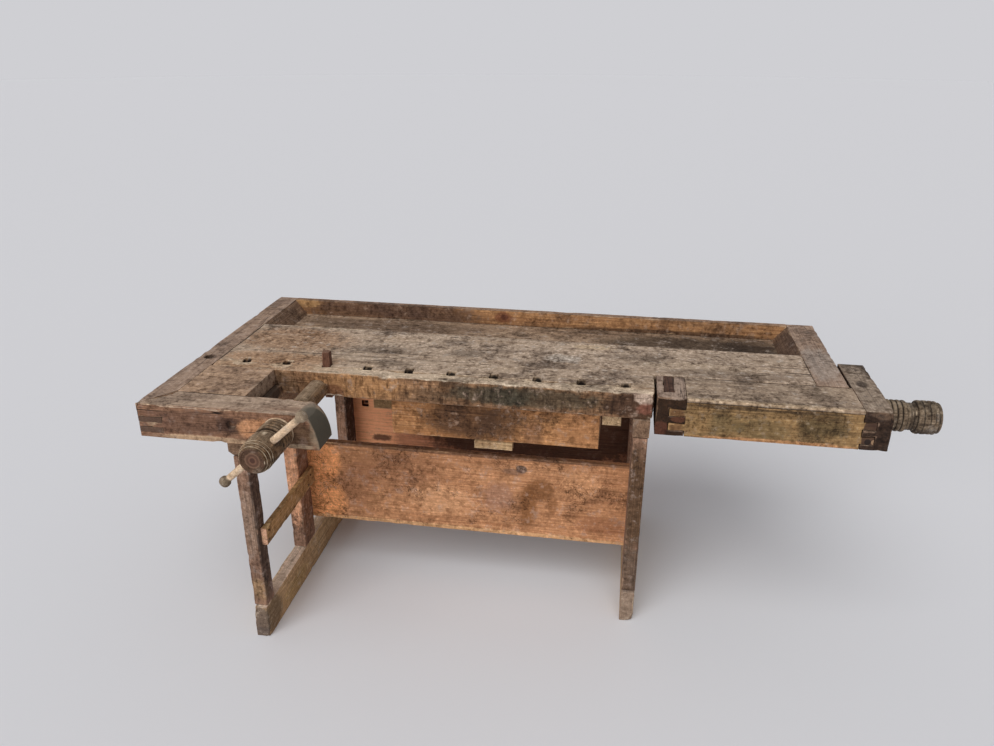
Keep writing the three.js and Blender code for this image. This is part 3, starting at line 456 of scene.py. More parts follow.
nail_finish = rusty_iron("nail_iron", (92, 82, 74), (84, 54, 38))
nail_head = [(0, 0), (0, 3.2), (0.8, 4), (1.5, 3.4), (1.9, 2), (2, 0)]
nail_spots = [(-240, 344), (-234, 374), (76, 346), (98, 372)]
rail_face = 317.9
nails = [turned(nail_head, drawn(rail_face, y, z), (1, 0, 0), sides=16) for y, z in nail_spots]
set_piece(gathered(nails), "side_rail_nails", "bench", nail_finish, "iron")

# Aprons
# Two wide pine boards, front and rear, that hold the trestles apart; resinous orange, badly stained, with
# painted light on both and painted shade on the rear one.
# Each is held by two coach screws at either end, driven from its back face.
front_apron_finish = old_wood(
    "front_apron_pine", (203, 148, 106), (177, 122, 84), (98, 64, 45), "X", (800, 260, -40),
    ring=9, rings=0.1, streaks=0.2, blotches=0.5, specks=0.45, flecks_and_glints=0.45, scuffs=0.9,
    rubbed=(226, 182, 138), cracks=0.3,
    marks=[
        # painted light: these two bright patches at the left end take away the shadow that the vise arm casts
        # there
        ((345, 132, 410), (80, 30, 90), (244, 166, 108), 0.85, 0.5),
        ((330, 132, 260), (110, 30, 100), (244, 168, 110), 0.85, 0.5),
        ((470, 132, 330), (80, 30, 110), (142, 94, 68), 0.4, 0.9),
        ((620, 132, 400), (200, 30, 90), (132, 88, 64), 0.35, 0.9),
        ((760, 132, 300), (120, 30, 70), (226, 172, 128), 0.45, 0.9),
        ((1060, 132, 304), (34, 30, 98), (130, 84, 48), 0.75, 0.7),
        ((1102, 132, 370), (54, 30, 50), (122, 78, 44), 0.75, 0.7),
        ((1142, 132, 318), (20, 30, 50), (138, 90, 54), 0.6, 0.8),
        ((1036, 132, 442), (20, 30, 15), (46, 36, 33), 0.9, 0.5),
        ((1008, 132, 430), (44, 30, 14), (110, 84, 72), 0.6, 0.8),
        ((960, 132, 330), (60, 30, 70), (136, 106, 98), 0.4, 0.9),
        ((1230, 132, 400), (80, 30, 60), (224, 166, 120), 0.45, 0.9),
        ((1300, 132, 250), (90, 30, 40), (140, 88, 60), 0.5, 0.9),
        ((840, 132, 190), (700, 30, 12), (222, 176, 128), 0.6, 0.6),
        ((840, 132, 482), (700, 30, 9), (92, 68, 54), 0.7, 0.6),
    ],
)
fit_timber(
    "front_apron", "front_apron_board", "bench", front_apron_finish, "pine",
    arris=1.6, chips=3, sag=0.8, step=16, seed=41,
)
rear_apron_finish = old_wood(
    "rear_apron_pine", (230, 166, 128), (208, 138, 102), (118, 74, 56), "X", (800, 740, -30),
    ring=9, rings=0.12, streaks=0.3, blotches=0.1, specks=0.15, flecks_and_glints=0.1, rubbed=(226, 178, 138),
    marks=[
        # painted light: the rear apron's left part made bright where the lamps leave it in the bench's shade
        ((370, 608, 340), (120, 12, 240), (255, 182, 136), 1.0, 0.3),
        # painted shade on the rear apron's right part, under the drawer and slab
        ((1010, 608, 400), (520, 14, 260), (62, 41, 33), 0.9, 0.3),
        ((411, 608, 258), (50, 14, 18), (80, 54, 44), 0.85, 0.8),
        ((470, 608, 360), (12, 14, 120), (150, 92, 70), 0.6, 0.9),
        # painted shade filling the blind mortise in the rear apron
        ((347, 619, 405), (24, 11.5, 24), (30, 21, 18), 0.95, 0.1),
        ((1000, 634, 420), (500, 14, 50), (98, 70, 54), 0.4, 0.8),
    ],
)
fit_timber(
    "rear_apron", "rear_apron_board", "bench", rear_apron_finish, "pine",
    arris=1.6, chips=3, sag=0.8, step=16, seed=42,
)
coach_finish = rusty_iron("coach_screw_iron", (98, 90, 84), (92, 58, 40))
coach_screw = [(0, 0), (0, 4.9), (68, 4.9), (68, 9.4), (69, 10), (71.5, 9.4), (73.2, 6.5), (73.9, 3), (74, 0)]
coach_places = [
    f"{face}_{side}_{level}"
    for face in ("front", "rear")
    for side in ("left", "right")
    for level in ("low", "high")
]
for place in coach_places:
    low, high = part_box(f"apron_screw_{place}")
    foot = Vector(((low.x + high.x) / 2, low.y, (low.z + high.z) / 2))
    work = turned(coach_screw, foot, (0, 1, 0), sides=24)
    set_piece(work, f"coach_screw_{place}", "bench", coach_finish, "iron", f"apron_screw_{place}")

# Slab
# Three planks of beech jointed edge to edge: a front strip, the plank with the dog holes, and a rear plank.
# Planed grey by use, oil-dark on the front edge with the screw's shadow painted beside the screw, hollowed
# and chipped in front of each dog hole, with painted shade down inside each hole.
SLAB_GREY = (196, 173, 151)
DOG_START = 33
DOG_PITCH = 132
DOG_HOLES = 10
dog_row = [DOG_START + DOG_PITCH * number for number in range(1, DOG_HOLES + 1)]
hole_wear = [((x - 4, 40, 801), (40, 24, 10), 3.0) for x in dog_row]
hole_wear += [((x, 63, 801), (26, 22, 8), 1.5) for x in dog_row]
pale_chips = [((x - 6, 36, 800), (40, 24, 30), (222, 198, 168), 0.6, 0.9) for x in dog_row]
# painted shade down inside each dog hole
hole_shade = [((x, 63, 750), (23, 21, 62), (26, 20, 17), 0.95, 0.1) for x in dog_row]
strip_finish = old_wood(
    "slab_front_wood", (176, 134, 98), (144, 106, 76), (68, 53, 41), "X", (700, -90, 700),
    streaks=0.25, specks=0.9, flecks_and_glints=0.65, greyed=(222, 200, 174), rubbed=(236, 216, 190), drips=0.85,
    cracks=0.6,
    marks=[
        ((1060, 0, 762), (310, 12, 40), (64, 60, 48), 0.75, 0.7),
        ((1010, 0, 762), (110, 12, 36), (54, 56, 46), 0.55, 0.9),
        ((1385, 0, 760), (115, 12, 50), (76, 53, 39), 0.95, 0.6),
        ((760, 0, 745), (120, 12, 30), (92, 72, 54), 0.5, 0.9),
        ((540, 0, 756), (190, 12, 60), (192, 142, 94), 0.65, 0.8),
        ((250, 30, 800), (260, 40, 10), (176, 134, 98), 0.65, 0.8),
        ((200, 0, 748), (190, 12, 70), (132, 104, 78), 0.6, 0.6),
        # painted shadow of the shoulder screw's shaft on the strip's front, right of the screw
        ((470, 0, 738), (34, 12, 30), (92, 50, 34), 0.7, 0.6),
        ((1000, 0, 724), (420, 12, 9), (140, 106, 80), 0.6, 0.9),
        ((1420, 0, 786), (44, 12, 22), (206, 180, 160), 0.8, 0.6),
        ((1420, 0, 752), (36, 12, 22), (150, 96, 78), 0.6, 0.7),
        *pale_chips,
        *hole_shade,
    ],
)
strip_dents = [
    ((1435, 0, 800), (30, 22, 26), 8),
    ((1435, 0, 760), (20, 14, 60), 5),
    ((900, 0, 800), (30, 12, 12), 4),
    ((1190, 0, 802), (60, 16, 14), 5),
    ((640, 0, 802), (44, 12, 12), 4),
    *hole_wear,
]
fit_timber(
    "slab_front_strip", "slab_front_strip_timber", "bench", strip_finish, "slab_wood",
    arris=3.5, chips=6, sag=1, step=11, rub=20, dents=strip_dents, seed=51,
)
dog_plank_finish = old_wood(
    "slab_dog_plank_wood", (196, 170, 142), (164, 138, 112), (80, 62, 52), "X", (700, 120, 620),
    streaks=0.4, blotches=0.8, specks=0.85, flecks_and_glints=0.65, greyed=SLAB_GREY, rubbed=(208, 184, 156), cracks=0.8,
    marks=[
        ((260, 90, 800), (240, 60, 30), (176, 134, 98), 0.65, 0.8),
        ((72, 90, 800), (6, 60, 8), (50, 40, 34), 0.8, 0.1),
        ((620, 110, 800), (90, 30, 30), (100, 84, 70), 0.5, 0.9),
        *pale_chips,
        *hole_shade,
    ],
)
fit_timber(
    "slab_dog_plank", "slab_dog_plank_timber", "bench", dog_plank_finish, "slab_wood",
    arris=1.2, chips=2.5, sag=0.8, step=12, dents=hole_wear, seed=52,
)
rear_plank_finish = old_wood(
    "slab_rear_plank_wood", (196, 170, 144), (162, 136, 112), (84, 66, 54), "X", (900, 300, 560),
    ring=6, streaks=0.4, blotches=0.85, specks=0.9, flecks_and_glints=0.7, greyed=SLAB_GREY, rubbed=(202, 178, 152),
    cracks=0.9,
    marks=[
        ((240, 260, 800), (240, 130, 30), (166, 126, 92), 0.6, 0.8),
        ((72, 270, 800), (6, 120, 8), (50, 40, 34), 0.8, 0.1),
        ((1908, 270, 800), (4, 120, 8), (56, 44, 37), 0.7, 0.1),
        ((600, 150, 800), (520, 3, 8), (62, 50, 41), 0.6, 0.2),
        ((560, 210, 800), (120, 40, 30), (96, 80, 66), 0.5, 0.9),
        ((840, 230, 800), (70, 40, 30), (92, 78, 66), 0.55, 0.9),
        ((780, 330, 800), (60, 24, 30), (88, 72, 60), 0.5, 0.9),
        ((1120, 170, 800), (120, 30, 30), (92, 76, 64), 0.5, 0.9),
        ((1150, 240, 800), (70, 40, 30), (222, 210, 196), 0.4, 0.9),
        ((1240, 350, 800), (80, 24, 30), (212, 184, 148), 0.5, 0.8),
        ((1580, 230, 800), (220, 50, 30), (192, 170, 144), 0.35, 0.9),
        ((330, 386, 800), (200, 9, 30), (212, 190, 164), 0.6, 0.7),
        ((1660, 190, 800), (260, 34, 30), (96, 80, 67), 0.5, 0.9),
        ((1380, 280, 800), (130, 34, 30), (104, 88, 74), 0.45, 0.9),
        ((1700, 330, 800), (170, 50, 30), (160, 140, 120), 0.4, 0.8),
    ],
)
plank_dents = [
    ((840, 250, 801), (90, 60, 8), 2),
    ((560, 300, 801), (120, 50, 8), 2),
    ((1200, 260, 801), (160, 70, 8), 2),
]
fit_timber(
    "slab_rear_plank", "slab_rear_plank_timber", "bench", rear_plank_finish, "slab_wood",
    arris=1.2, chips=2.5, sag=1, step=13, dents=plank_dents, seed=53,
)

# End caps
# A beech cap across each end keeps the slab flat; the left one runs on forward to carry the vise arm,
# joined there by fingers and a mitre. Two iron bolts with sunk heads draw each cap to the slab.
cap_finish = old_wood(
    "end_cap_wood", (178, 148, 123), (144, 116, 95), (70, 53, 44), "Y", (36, 200, 640),
    ends=0.5, greyed=(174, 148, 129), rubbed=(196, 168, 142), cracks=0.9,
    marks=[
        ((36, 63, 800), (26, 22, 30), (70, 54, 44), 0.7, 0.7),
        ((36, -296, 735), (80, 8, 60), (82, 59, 48), 0.7, 0.2),
        ((20, 640, 800), (60, 60, 40), (124, 102, 88), 0.5, 0.7),
        ((1954, 330, 800), (60, 160, 30), (170, 156, 144), 0.6, 0.7),
    ],
)
for side, seed in (("left", 61), ("right", 62)):
    fit_timber(
        f"{side}_end_cap", f"{side}_end_cap_timber", "bench", cap_finish, "cap_wood",
        arris=2.2, chips=4, sag=0.9, step=14, seed=seed,
    )
bolt_finish = rusty_iron("cap_bolt_iron", (88, 82, 78), (86, 56, 40))
bolt_head = [(0, 0), (0, 5), (0.6, 11.5), (1.8, 13.4), (3.4, 14), (9, 14), (9, 6)]
for side, inward in (("left", 1), ("right", -1)):
    for number in (1, 2):
        bolt = f"{side}_cap_bolt_{number}"
        low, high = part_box(bolt)
        middle = (low + high) / 2
        foot = Vector((low.x if inward > 0 else high.x, middle.y, middle.z))
        length = (high.x - low.x) * 1000
        bolt_profile = [*bolt_head, (length - 1, 6), (length, 5), (length, 0)]
        work = turned(bolt_profile, foot, (inward, 0, 0), sides=28)
        set_piece(work, f"{bolt}_iron", "bench", bolt_finish, "iron", bolt)

# Tool tray
# A thin pine floor in grooves behind the slab, closed by a back rail tenoned into both caps.
# Sloped blocks at either end let shavings be swept out.
tray_finish = old_wood(
    "tray_floor_pine", (186, 156, 128), (150, 122, 98), (70, 54, 44), "X", (900, 520, 560),
    ring=8, streaks=0.6, blotches=0.65, specks=0.85, flecks_and_glints=0.6, greyed=(178, 150, 124), cracks=0.6,
    marks=[
        ((1560, 540, 745), (340, 130, 30), (54, 41, 31), 0.8, 0.7),
        ((1780, 560, 745), (120, 120, 30), (50, 38, 29), 0.7, 0.7),
        ((1250, 420, 745), (90, 26, 30), (216, 190, 156), 0.6, 0.7),
        ((500, 600, 745), (420, 60, 30), (106, 84, 68), 0.6, 0.7),
    ],
)
fit_timber(
    "tray_floor", "tray_floor_board", "bench", tray_finish, "tray_wood",
    arris=0.8, chips=0.6, sag=0.6, step=20, seed=71,
)
back_rail_finish = old_wood(
    "back_rail_pine", (196, 148, 102), (164, 118, 80), (78, 56, 46), "X", (900, 820, 700),
    ring=8, greyed=(152, 126, 106), rubbed=(192, 160, 128), cracks=0.6,
    marks=[
        ((450, 670, 770), (380, 16, 60), (84, 64, 56), 0.75, 0.5),
        ((890, 670, 775), (38, 16, 26), (118, 70, 48), 0.75, 0.7),
        ((894, 670, 776), (17, 16, 14), (80, 44, 36), 0.7, 0.7),
        ((120, 670, 790), (60, 16, 20), (196, 154, 104), 0.6, 0.5),
        ((1500, 670, 748), (420, 16, 14), (62, 46, 38), 0.7, 0.7),
    ],
)
fit_timber(
    "tray_back_rail", "tray_back_rail_board", "bench", back_rail_finish, "tray_wood",
    arris=1.8, chips=3.5, sag=0.8, step=16, seed=72,
)
ramp_finish = old_wood(
    "tray_ramp_wood", (150, 120, 96), (114, 88, 70), (56, 42, 34), "Y", (100, 530, 700),
    streaks=0.7, scuffs=0.6, rubbed=(178, 152, 126), cracks=0.9,
    marks=[((1880, 530, 770), (60, 170, 60), (74, 54, 44), 0.65, 0.8)],
)
for side in ("left", "right"):
    fit_timber(
        f"tray_ramp_{side}", f"tray_ramp_{side}_block", "bench", ramp_finish, "tray_wood",
        arris=1.2, chips=3, sag=0.8, step=14, seed=73 + len(side),
    )

# Shoulder vise arm and spacer
# A heavy beech arm with a rounded nose, fingered and mitred to the left cap and threaded for the screw.
# A spacer block glued behind it closes the corner. The arm's front is dark from hands, with painted shadow
# under the screw's head, and its top edge is chipped.
arm_finish = old_wood(
    "vise_arm_wood", (162, 121, 94), (128, 93, 72), (64, 45, 36), "X", (200, -330, 680),
    rings=0.3, blotches=0.5, flecks_and_glints=0.4, greyed=(190, 166, 144), rubbed=(206, 176, 146), cracks=1.0,
    marks=[
        ((170, -296, 752), (150, 14, 44), (94, 68, 55), 0.6, 0.8),
        ((279, -296, 753), (48, 14, 30), (62, 42, 34), 0.75, 0.7),
        ((279, -296, 753), (16, 14, 14), (36, 26, 22), 0.8, 0.6),
        ((360, -296, 745), (70, 14, 40), (196, 142, 102), 0.85, 0.6),
        ((200, -296, 704), (190, 14, 12), (194, 164, 132), 0.65, 0.7),
        ((600, -248, 745), (139, 62, 134), (196, 176, 148), 0.6, 0.08),
        ((600, -248, 745), (135, 58, 130), (62, 61, 54), 0.88, 0.08),
        ((496, -248, 797), (26, 50, 14), (112, 104, 92), 0.6, 0.2),
        # painted shadow cast by the screw's head on the arm's front
        ((480, -296, 734), (46, 10, 50), (96, 74, 54), 0.75, 0.5),
        ((470, -296, 704), (50, 14, 9), (206, 180, 150), 0.6, 0.5),
        ((40, -296, 740), (70, 14, 50), (116, 84, 68), 0.55, 0.6),
        ((190, -199, 800), (130, 5, 8), (46, 36, 30), 0.9, 0.1),
    ],
)
arm_dents = [
    ((150, -296, 801), (110, 12, 16), 5),
    ((235, -296, 799), (44, 14, 14), 6),
    ((0, -296, 800), (14, 14, 14), 5),
]
fit_timber(
    "shoulder_vise_arm", "shoulder_vise_arm_timber", "bench", arm_finish, "arm_wood",
    arris=2.2, chips=6, sag=1, step=12, dents=arm_dents, seed=81,
)
spacer_finish = old_wood(
    "spacer_wood", (194, 156, 126), (160, 126, 100), (84, 62, 50), "X", (150, -100, 690),
    blotches=0.85, greyed=(190, 158, 130), rubbed=(208, 178, 148),
    # painted light on the spacer's right face, which faces away from the lamps
    marks=[((281, -100, 775), (20, 120, 30), (176, 152, 130), 0.7, 0.5)],
)
fit_timber(
    "shoulder_spacer", "shoulder_spacer_block", "bench", spacer_finish, "slab_wood",
    arris=1.2, chips=2.5, sag=0.8, step=13, seed=82,
)

# Shoulder screw and its washer
# A wooden screw turned from one billet: ringed collar, neck, and a drum that rounds down to a beaded face.
# The thread is worn shallow, dirt fills the grooves, and a pale wooden washer keeps the head off the arm.
THREAD_PITCH = 12.0
THREAD_DEPTH = 1.1
SHAFT_RADIUS = 31.0
SCREW_SIDES = 72
NECK_RADIUS = 40
COLLAR_LENGTH = 56
COLLAR_RIDGES = 4
COLLAR_RIDGE = [
    (0, 42.4, -0.6), (1.8, 43.6, -0.3), (3.8, 45.3), (7, 45.8, 0.15), (10.2, 45.3), (12.2, 43.6, -0.3),
]
RAISED_BEAD = [(-5, 0.5, 0), (-3.8, 1.5, -0.15), (-2.8, 2.4, -0.35), (-1.4, 0.8, 0.25), (0, 0, 0.75)]
RAISED_BEAD += [(-along, sink, rub) for along, sink, rub in reversed(RAISED_BEAD[:-1])]
SOFT_GROOVE = [(-4.4, 0.2, 0.1), (-2.6, 1.1, -0.1), (-1, 2.1, -0.4)]
SOFT_GROOVE += [(-along, sink, rub) for along, sink, rub in reversed(SOFT_GROOVE)]
DISHED_END = [(0, 31.8), (-0.8, 30.8), (-2.4, 30, -0.25), (-3, 29, -0.1), (-2.8, 15), (-3, 5), (-3, 0)]


def turned_head(neck, neck_rings, drum, girth, face, taper, turnings):
    """A screw head's profile from its collar on: ridges, a neck with fine rings, and a drum of a given girth
    that rounds down to its face over the taper, with turnings at distances from the face and a dished end."""

    def barrel(from_face):
        return girth - (girth - face) * max(0.0, 1 - from_face / taper) ** 2

    points = []
    for ridge in range(COLLAR_RIDGES):
        start = ridge * (COLLAR_LENGTH / COLLAR_RIDGES)
        points += [(start + along, *rest) for along, *rest in COLLAR_RIDGE]
    ring_length = neck / neck_rings
    for ring in range(neck_rings):
        start = COLLAR_LENGTH + ring * ring_length
        points += [(start, NECK_RADIUS - 0.6, -0.5), (start + ring_length * 0.3, NECK_RADIUS - 1)]
        points.append((start + ring_length * 0.6, NECK_RADIUS, 0.2))
    shoulder = COLLAR_LENGTH + neck
    rim = shoulder + drum
    points += [(shoulder, NECK_RADIUS + 0.8, -0.5), (shoulder + 1.5, girth - 3, -0.1)]
    points += [(shoulder + 4, girth - 0.9, 0.1), (shoulder + 7.5, barrel(drum - 7.5), 0.2)]
    for from_face, turning in turnings:
        middle = rim - from_face
        points += [(middle + along, barrel(from_face - along) - sink, rub) for along, sink, rub in turning]
    points += [(rim - 1.2, barrel(1.2), 0.3), (rim - 0.3, face - 0.7, 0.2), (rim, face - 2)]
    points += [(rim + along, *rest) for along, *rest in DISHED_END]
    return points


def screw_profile(shaft, head, groove=None):
    """A screw's profile from its tip: the shaft in short steps for the thread, then the head.
    A groove for a garter key is given as where it begins, where it ends and its radius."""
    profile = [(0, 0), (0, 20), (0, SHAFT_RADIUS - 2), (2, SHAFT_RADIUS)]
    profile += [(along, SHAFT_RADIUS) for along in np.arange(4, shaft - 1, 2)]
    if groove:
        begin, end, floor = groove
        before = [point for point in profile if point[0] < begin]
        after = [point for point in profile if point[0] > end]
        walls = [(begin, SHAFT_RADIUS), (begin, floor), (end, floor), (end, SHAFT_RADIUS)]
        profile = before + walls + after
    profile.append((shaft, SHAFT_RADIUS))
    return profile + [(shaft + along, *rest) for along, *rest in head]


def cut_thread(work, foot, way, begin, end):
    """Sinks a shallow worn thread into the shaft between two distances from its foot, in millimetres."""
    stand = Vector((0, 0, 1)).rotation_difference(Vector(way)).to_matrix()
    for vert in work.verts:
        local = stand.inverted() @ (vert.co - foot) * 1000
        radius = math.hypot(local.x, local.y)
        if begin < local.z < end and radius > SHAFT_RADIUS - 0.5:
            turn = local.z / THREAD_PITCH - math.atan2(local.y, local.x) / math.tau
            fade = min(1, (local.z - begin) / THREAD_PITCH, (end - local.z) / THREAD_PITCH)
            sink = THREAD_DEPTH * fade * (0.5 - 0.5 * math.cos(math.tau * turn)) ** 1.5
            outward = Vector((local.x, local.y, 0)) / radius
            vert.co -= stand @ outward * (sink / 1000)


BAR_HOLE_RADIUS = 10.9
DRILL_LENGTH = 120


def bored(work, middle, way):
    """Drills the tommy bar's round hole right through a screw's head."""
    solid = placed("solid", bpy.data.meshes.new("solid"))
    drill = placed("drill", bpy.data.meshes.new("drill"))
    work.to_mesh(solid.data)
    work.free()
    start = middle - way * (DRILL_LENGTH / 2000)
    bit_profile = [(0, 0), (0, BAR_HOLE_RADIUS), (DRILL_LENGTH, BAR_HOLE_RADIUS), (DRILL_LENGTH, 0)]
    bit = turned(bit_profile, start, way, sides=40)
    bit.to_mesh(drill.data)
    bit.free()
    hole = solid.modifiers.new("hole", "BOOLEAN")
    hole.operation = "DIFFERENCE"
    hole.solver = "EXACT"
    hole.object = drill
    drilled = bpy.data.meshes.new_from_object(solid.evaluated_get(bpy.context.evaluated_depsgraph_get()))
    work = bmesh.new()
    work.from_mesh(drilled)
    for thing in (solid, drill):
        bpy.data.meshes.remove(thing.data)
    bpy.data.meshes.remove(drilled)
    return work


def lathe_worn(work, foot, way, depth, seed):
    """Dents and flats that use leaves on a turned piece, in millimetres, on top of what its turning left."""
    wear = work.verts.layers.float["wear"]
    line = Vector(way)
    broad, fine = 26, 70
    shift = Vector((2.7, 1.3, 3.9)) * seed
    work.normal_update()
    for vert in work.verts:
        place = vert.co + shift
        knock = max(0.0, 0.7 * noise.noise(place * broad) + 0.5 * noise.noise(place * fine))
        outward = (vert.co - foot) - line * (vert.co - foot).dot(line)
        if outward.length > 0.004:
            vert.co -= outward.normalized() * (depth * knock / 1000)
        vert[wear] = min(1.0, vert[wear] + knock)


screw_finish = old_wood(
    "shoulder_screw_wood", (150, 116, 83), (114, 87, 63), (50, 39, 30), "Y", (418, -300, 745),
    ring=7, rings=0.55, blotches=0.75, flecks_and_glints=0.5, greyed=(150, 128, 104), rubbed=(212, 192, 164), cracks=0.9,
    marks=[
        ((418, -461, 745), (38, 6, 38), (84, 60, 48), 0.8, 0.3),
        ((418, -461, 745), (26, 6, 26), (140, 108, 86), 0.6, 0.2),
        ((418, -461, 745), (22, 6, 22), (84, 58, 46), 0.85, 0.2),
        ((418, -461, 745), (14, 6, 14), (122, 88, 70), 0.6, 0.2),
        ((418, -461, 745), (9, 6, 9), (70, 46, 38), 0.85, 0.2),
        # painted shade on the lower side of the shoulder screw's head
        ((440, -410, 715), (40, 60, 26), (74, 62, 46), 0.6, 0.6),
    ],
)
low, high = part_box("shoulder_screw")
axis_place = (low + high) / 2
screw_tip = Vector((axis_place.x, high.y, axis_place.z))
forward = (0, -1, 0)
shoulder_neck = 16
shoulder_drum = 86
shaft_length = (high.y - low.y) * 1000 - COLLAR_LENGTH - shoulder_neck - shoulder_drum
face_beads = [(from_face, RAISED_BEAD) for from_face in (29, 18, 7)]
shoulder_head = turned_head(
    neck=shoulder_neck, neck_rings=2, drum=shoulder_drum, girth=46, face=35, taper=30, turnings=face_beads
)
work = turned(screw_profile(shaft_length, shoulder_head), screw_tip, forward, SCREW_SIDES)
cut_thread(work, screw_tip, forward, begin=10, end=shaft_length - 2)
bar_tilt = math.radians(42)
bar_way = Vector((math.cos(bar_tilt), 0, math.sin(bar_tilt)))
bar_from_face = 62
bar_middle = Vector((axis_place.x, low.y + bar_from_face / 1000, axis_place.z))
work = bored(work, bar_middle, bar_way)
lathe_worn(work, screw_tip, forward, depth=1.6, seed=3)
set_piece(work, "shoulder_screw_turned", "shoulder_screw", screw_finish, "screw_wood", "shoulder_screw")
pale_finish = old_wood(
    "bar_wood", (236, 208, 176), (216, 183, 149), (130, 104, 84), "X", (418, -380, 700),
    ring=3, streaks=0.4, blotches=0.35, specks=0.35, rubbed=(238, 216, 188), cracks=0.4,
    marks=[
        ((538, -399, 853), (26, 26, 26), (142, 126, 106), 0.8, 0.5),
        ((298, -399, 637), (26, 26, 26), (98, 86, 70), 0.85, 0.5),
    ],
)
washer_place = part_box("shoulder_washer")
washer_foot = Vector((axis_place.x, washer_place[1].y, axis_place.z))
washer_ring = [(0, 31.8), (0, 43.5), (0.8, 44.7), (3, 45), (5.2, 44.7), (6, 43.5), (6, 31.8), (0, 31.8)]
work = turned(washer_ring, washer_foot, forward, sides=64)
lathe_worn(work, washer_foot, forward, depth=0.6, seed=4)
set_piece(work, "shoulder_washer_ring", "shoulder_washer", pale_finish, "pale_wood", "shoulder_washer")

# Tommy bar
# A slim turned bar of pale ash through the screw's head, with a knob turned on one end.
# The other knob is pegged on after the bar is in place; both knobs are dark from hands.
BAR_LENGTH = 344.0
KNOB_LENGTH = 24.0
BAR_SIDES = 40
PEG_RADIUS = 6.5
SOCKET_RADIUS = 7.1
knob_start = BAR_LENGTH - KNOB_LENGTH
bar_end = knob_start - 0.3
peg_end = knob_start + 16.5
socket_end = knob_start + 16.8
knob_curve = [
    (0.3, 6), (1.2, 10.5), (3.5, 14), (7, 15.7), (12, 16), (17, 15.2), (20.5, 13), (22.6, 10.6), (24, 9.6),
]
bar_foot = bar_middle - bar_way * (BAR_LENGTH / 2000)
bar_profile = [(0, 0), *knob_curve, (60, 9.8), (110, 10), (172, 10), (234, 10), (284, 9.8), (bar_end, 9.6)]
bar_profile += [(bar_end, PEG_RADIUS), (peg_end, PEG_RADIUS), (peg_end, 0)]
work = turned(bar_profile, bar_foot, bar_way, BAR_SIDES)
lathe_worn(work, bar_foot, bar_way, depth=0.8, seed=5)
set_piece(work, "shoulder_bar_turned", "shoulder_bar", pale_finish, "pale_wood", "shoulder_bar")
knob_profile = [(socket_end, 0), (socket_end, SOCKET_RADIUS), (knob_start, SOCKET_RADIUS)]
knob_profile += [(BAR_LENGTH - along, radius) for along, radius in reversed(knob_curve)] + [(BAR_LENGTH, 0)]
work = turned(knob_profile, bar_foot, bar_way, BAR_SIDES)
lathe_worn(work, bar_foot, bar_way, depth=0.8, seed=6)
set_piece(work, "shoulder_bar_knob_turned", "shoulder_bar", pale_finish, "pale_wood", "shoulder_bar_knob")

# Tail vise guide and nut
# A beech guide rail fixed along the slab's notch, and a threaded nut block tenoned into the right cap.
# Both stay with the bench while the vise slides; they are seen only from below.
inner_finish = old_wood(
    "guide_wood", (162, 132, 102), (130, 102, 78), (64, 48, 38), "X", (1600, 200, 650),
    rubbed=(168, 140, 112),
)
for node in ("tail_guide_rail", "tail_nut_block"):
    fit_timber(
        node, f"{node}_timber", "bench", inner_finish, "dark_wood",
        arris=1.2, chips=1.5, sag=0.3, step=20, seed=len(node),
    )

# Tail vise
# A sliding box of beech: jaw, front beam, top board and end block, dovetailed and fingered at the corners.
# The jaw and end block are of darker wood; a keeper below rides on the guide, a garter key holds the screw.
jaw_finish = old_wood(
    "tail_jaw_wood", (74, 48, 28), (50, 32, 18), (26, 18, 13), "Y", (1480, 60, 640),
    ring=4, streaks=0.3, flecks_and_glints=0.3, greyed=(160, 136, 120), rubbed=(144, 114, 90), cracks=0.8,
    marks=[
        ((1483, 60, 800), (50, 110, 9), (182, 158, 140), 0.75, 0.7),
        ((1458, -11, 700), (26, 12, 26), (92, 54, 40), 0.7, 0.6),
        ((1506, -11, 734), (26, 12, 11), (98, 60, 42), 0.75, 0.5),
    ],
)
fit_timber(
    "tail_jaw", "tail_jaw_block", "tail_vise", jaw_finish, "dark_wood",
    arris=1.8, chips=3.5, sag=0.8, step=12, seed=91,
)
inset_finish = old_wood(
    "jaw_inset_wood", (92, 64, 50), (66, 46, 37), (34, 24, 21), "Y", (1477, 90, 780),
    ring=3, rubbed=(120, 92, 72),
)
fit_timber(
    "tail_jaw_inset", "tail_jaw_inset_strip", "tail_vise", inset_finish, "dark_wood",
    arris=0.8, chips=1, sag=0.4, step=12, seed=92,
)
beam_finish = old_wood(
    "tail_beam_wood", (170, 136, 92), (140, 107, 70), (52, 44, 32), "X", (1760, -120, 740),
    ring=6, rings=0.1, streaks=0.35, blotches=0.6, specks=0.75, flecks_and_glints=0.5, scuffs=0.5,
    rubbed=(198, 158, 112),
    marks=[
        ((1640, -11, 730), (60, 14, 40), (92, 80, 54), 0.5, 0.9),
        ((1740, -11, 720), (90, 14, 36), (82, 72, 48), 0.5, 0.9),
        ((1900, -11, 735), (80, 14, 36), (92, 78, 52), 0.5, 0.9),
        ((1780, -11, 684), (260, 14, 9), (196, 142, 98), 0.7, 0.6),
        ((1740, -11, 782), (260, 14, 7), (60, 46, 34), 0.7, 0.7),
        ((1500, -11, 734), (24, 14, 60), (116, 82, 54), 0.8, 0.5),
        ((2032, -11, 730), (26, 14, 70), (66, 47, 40), 0.9, 0.1),
        ((2025, -11, 706), (9, 8, 9), (32, 25, 23), 0.85, 0.2),
        ((2043, -11, 706), (9, 8, 9), (164, 132, 102), 0.8, 0.2),
    ],
)
fit_timber(
    "tail_front_beam", "tail_front_beam_timber", "tail_vise", beam_finish, "tail_wood",
    arris=2, chips=3.5, sag=0.9, step=13, seed=93,
)
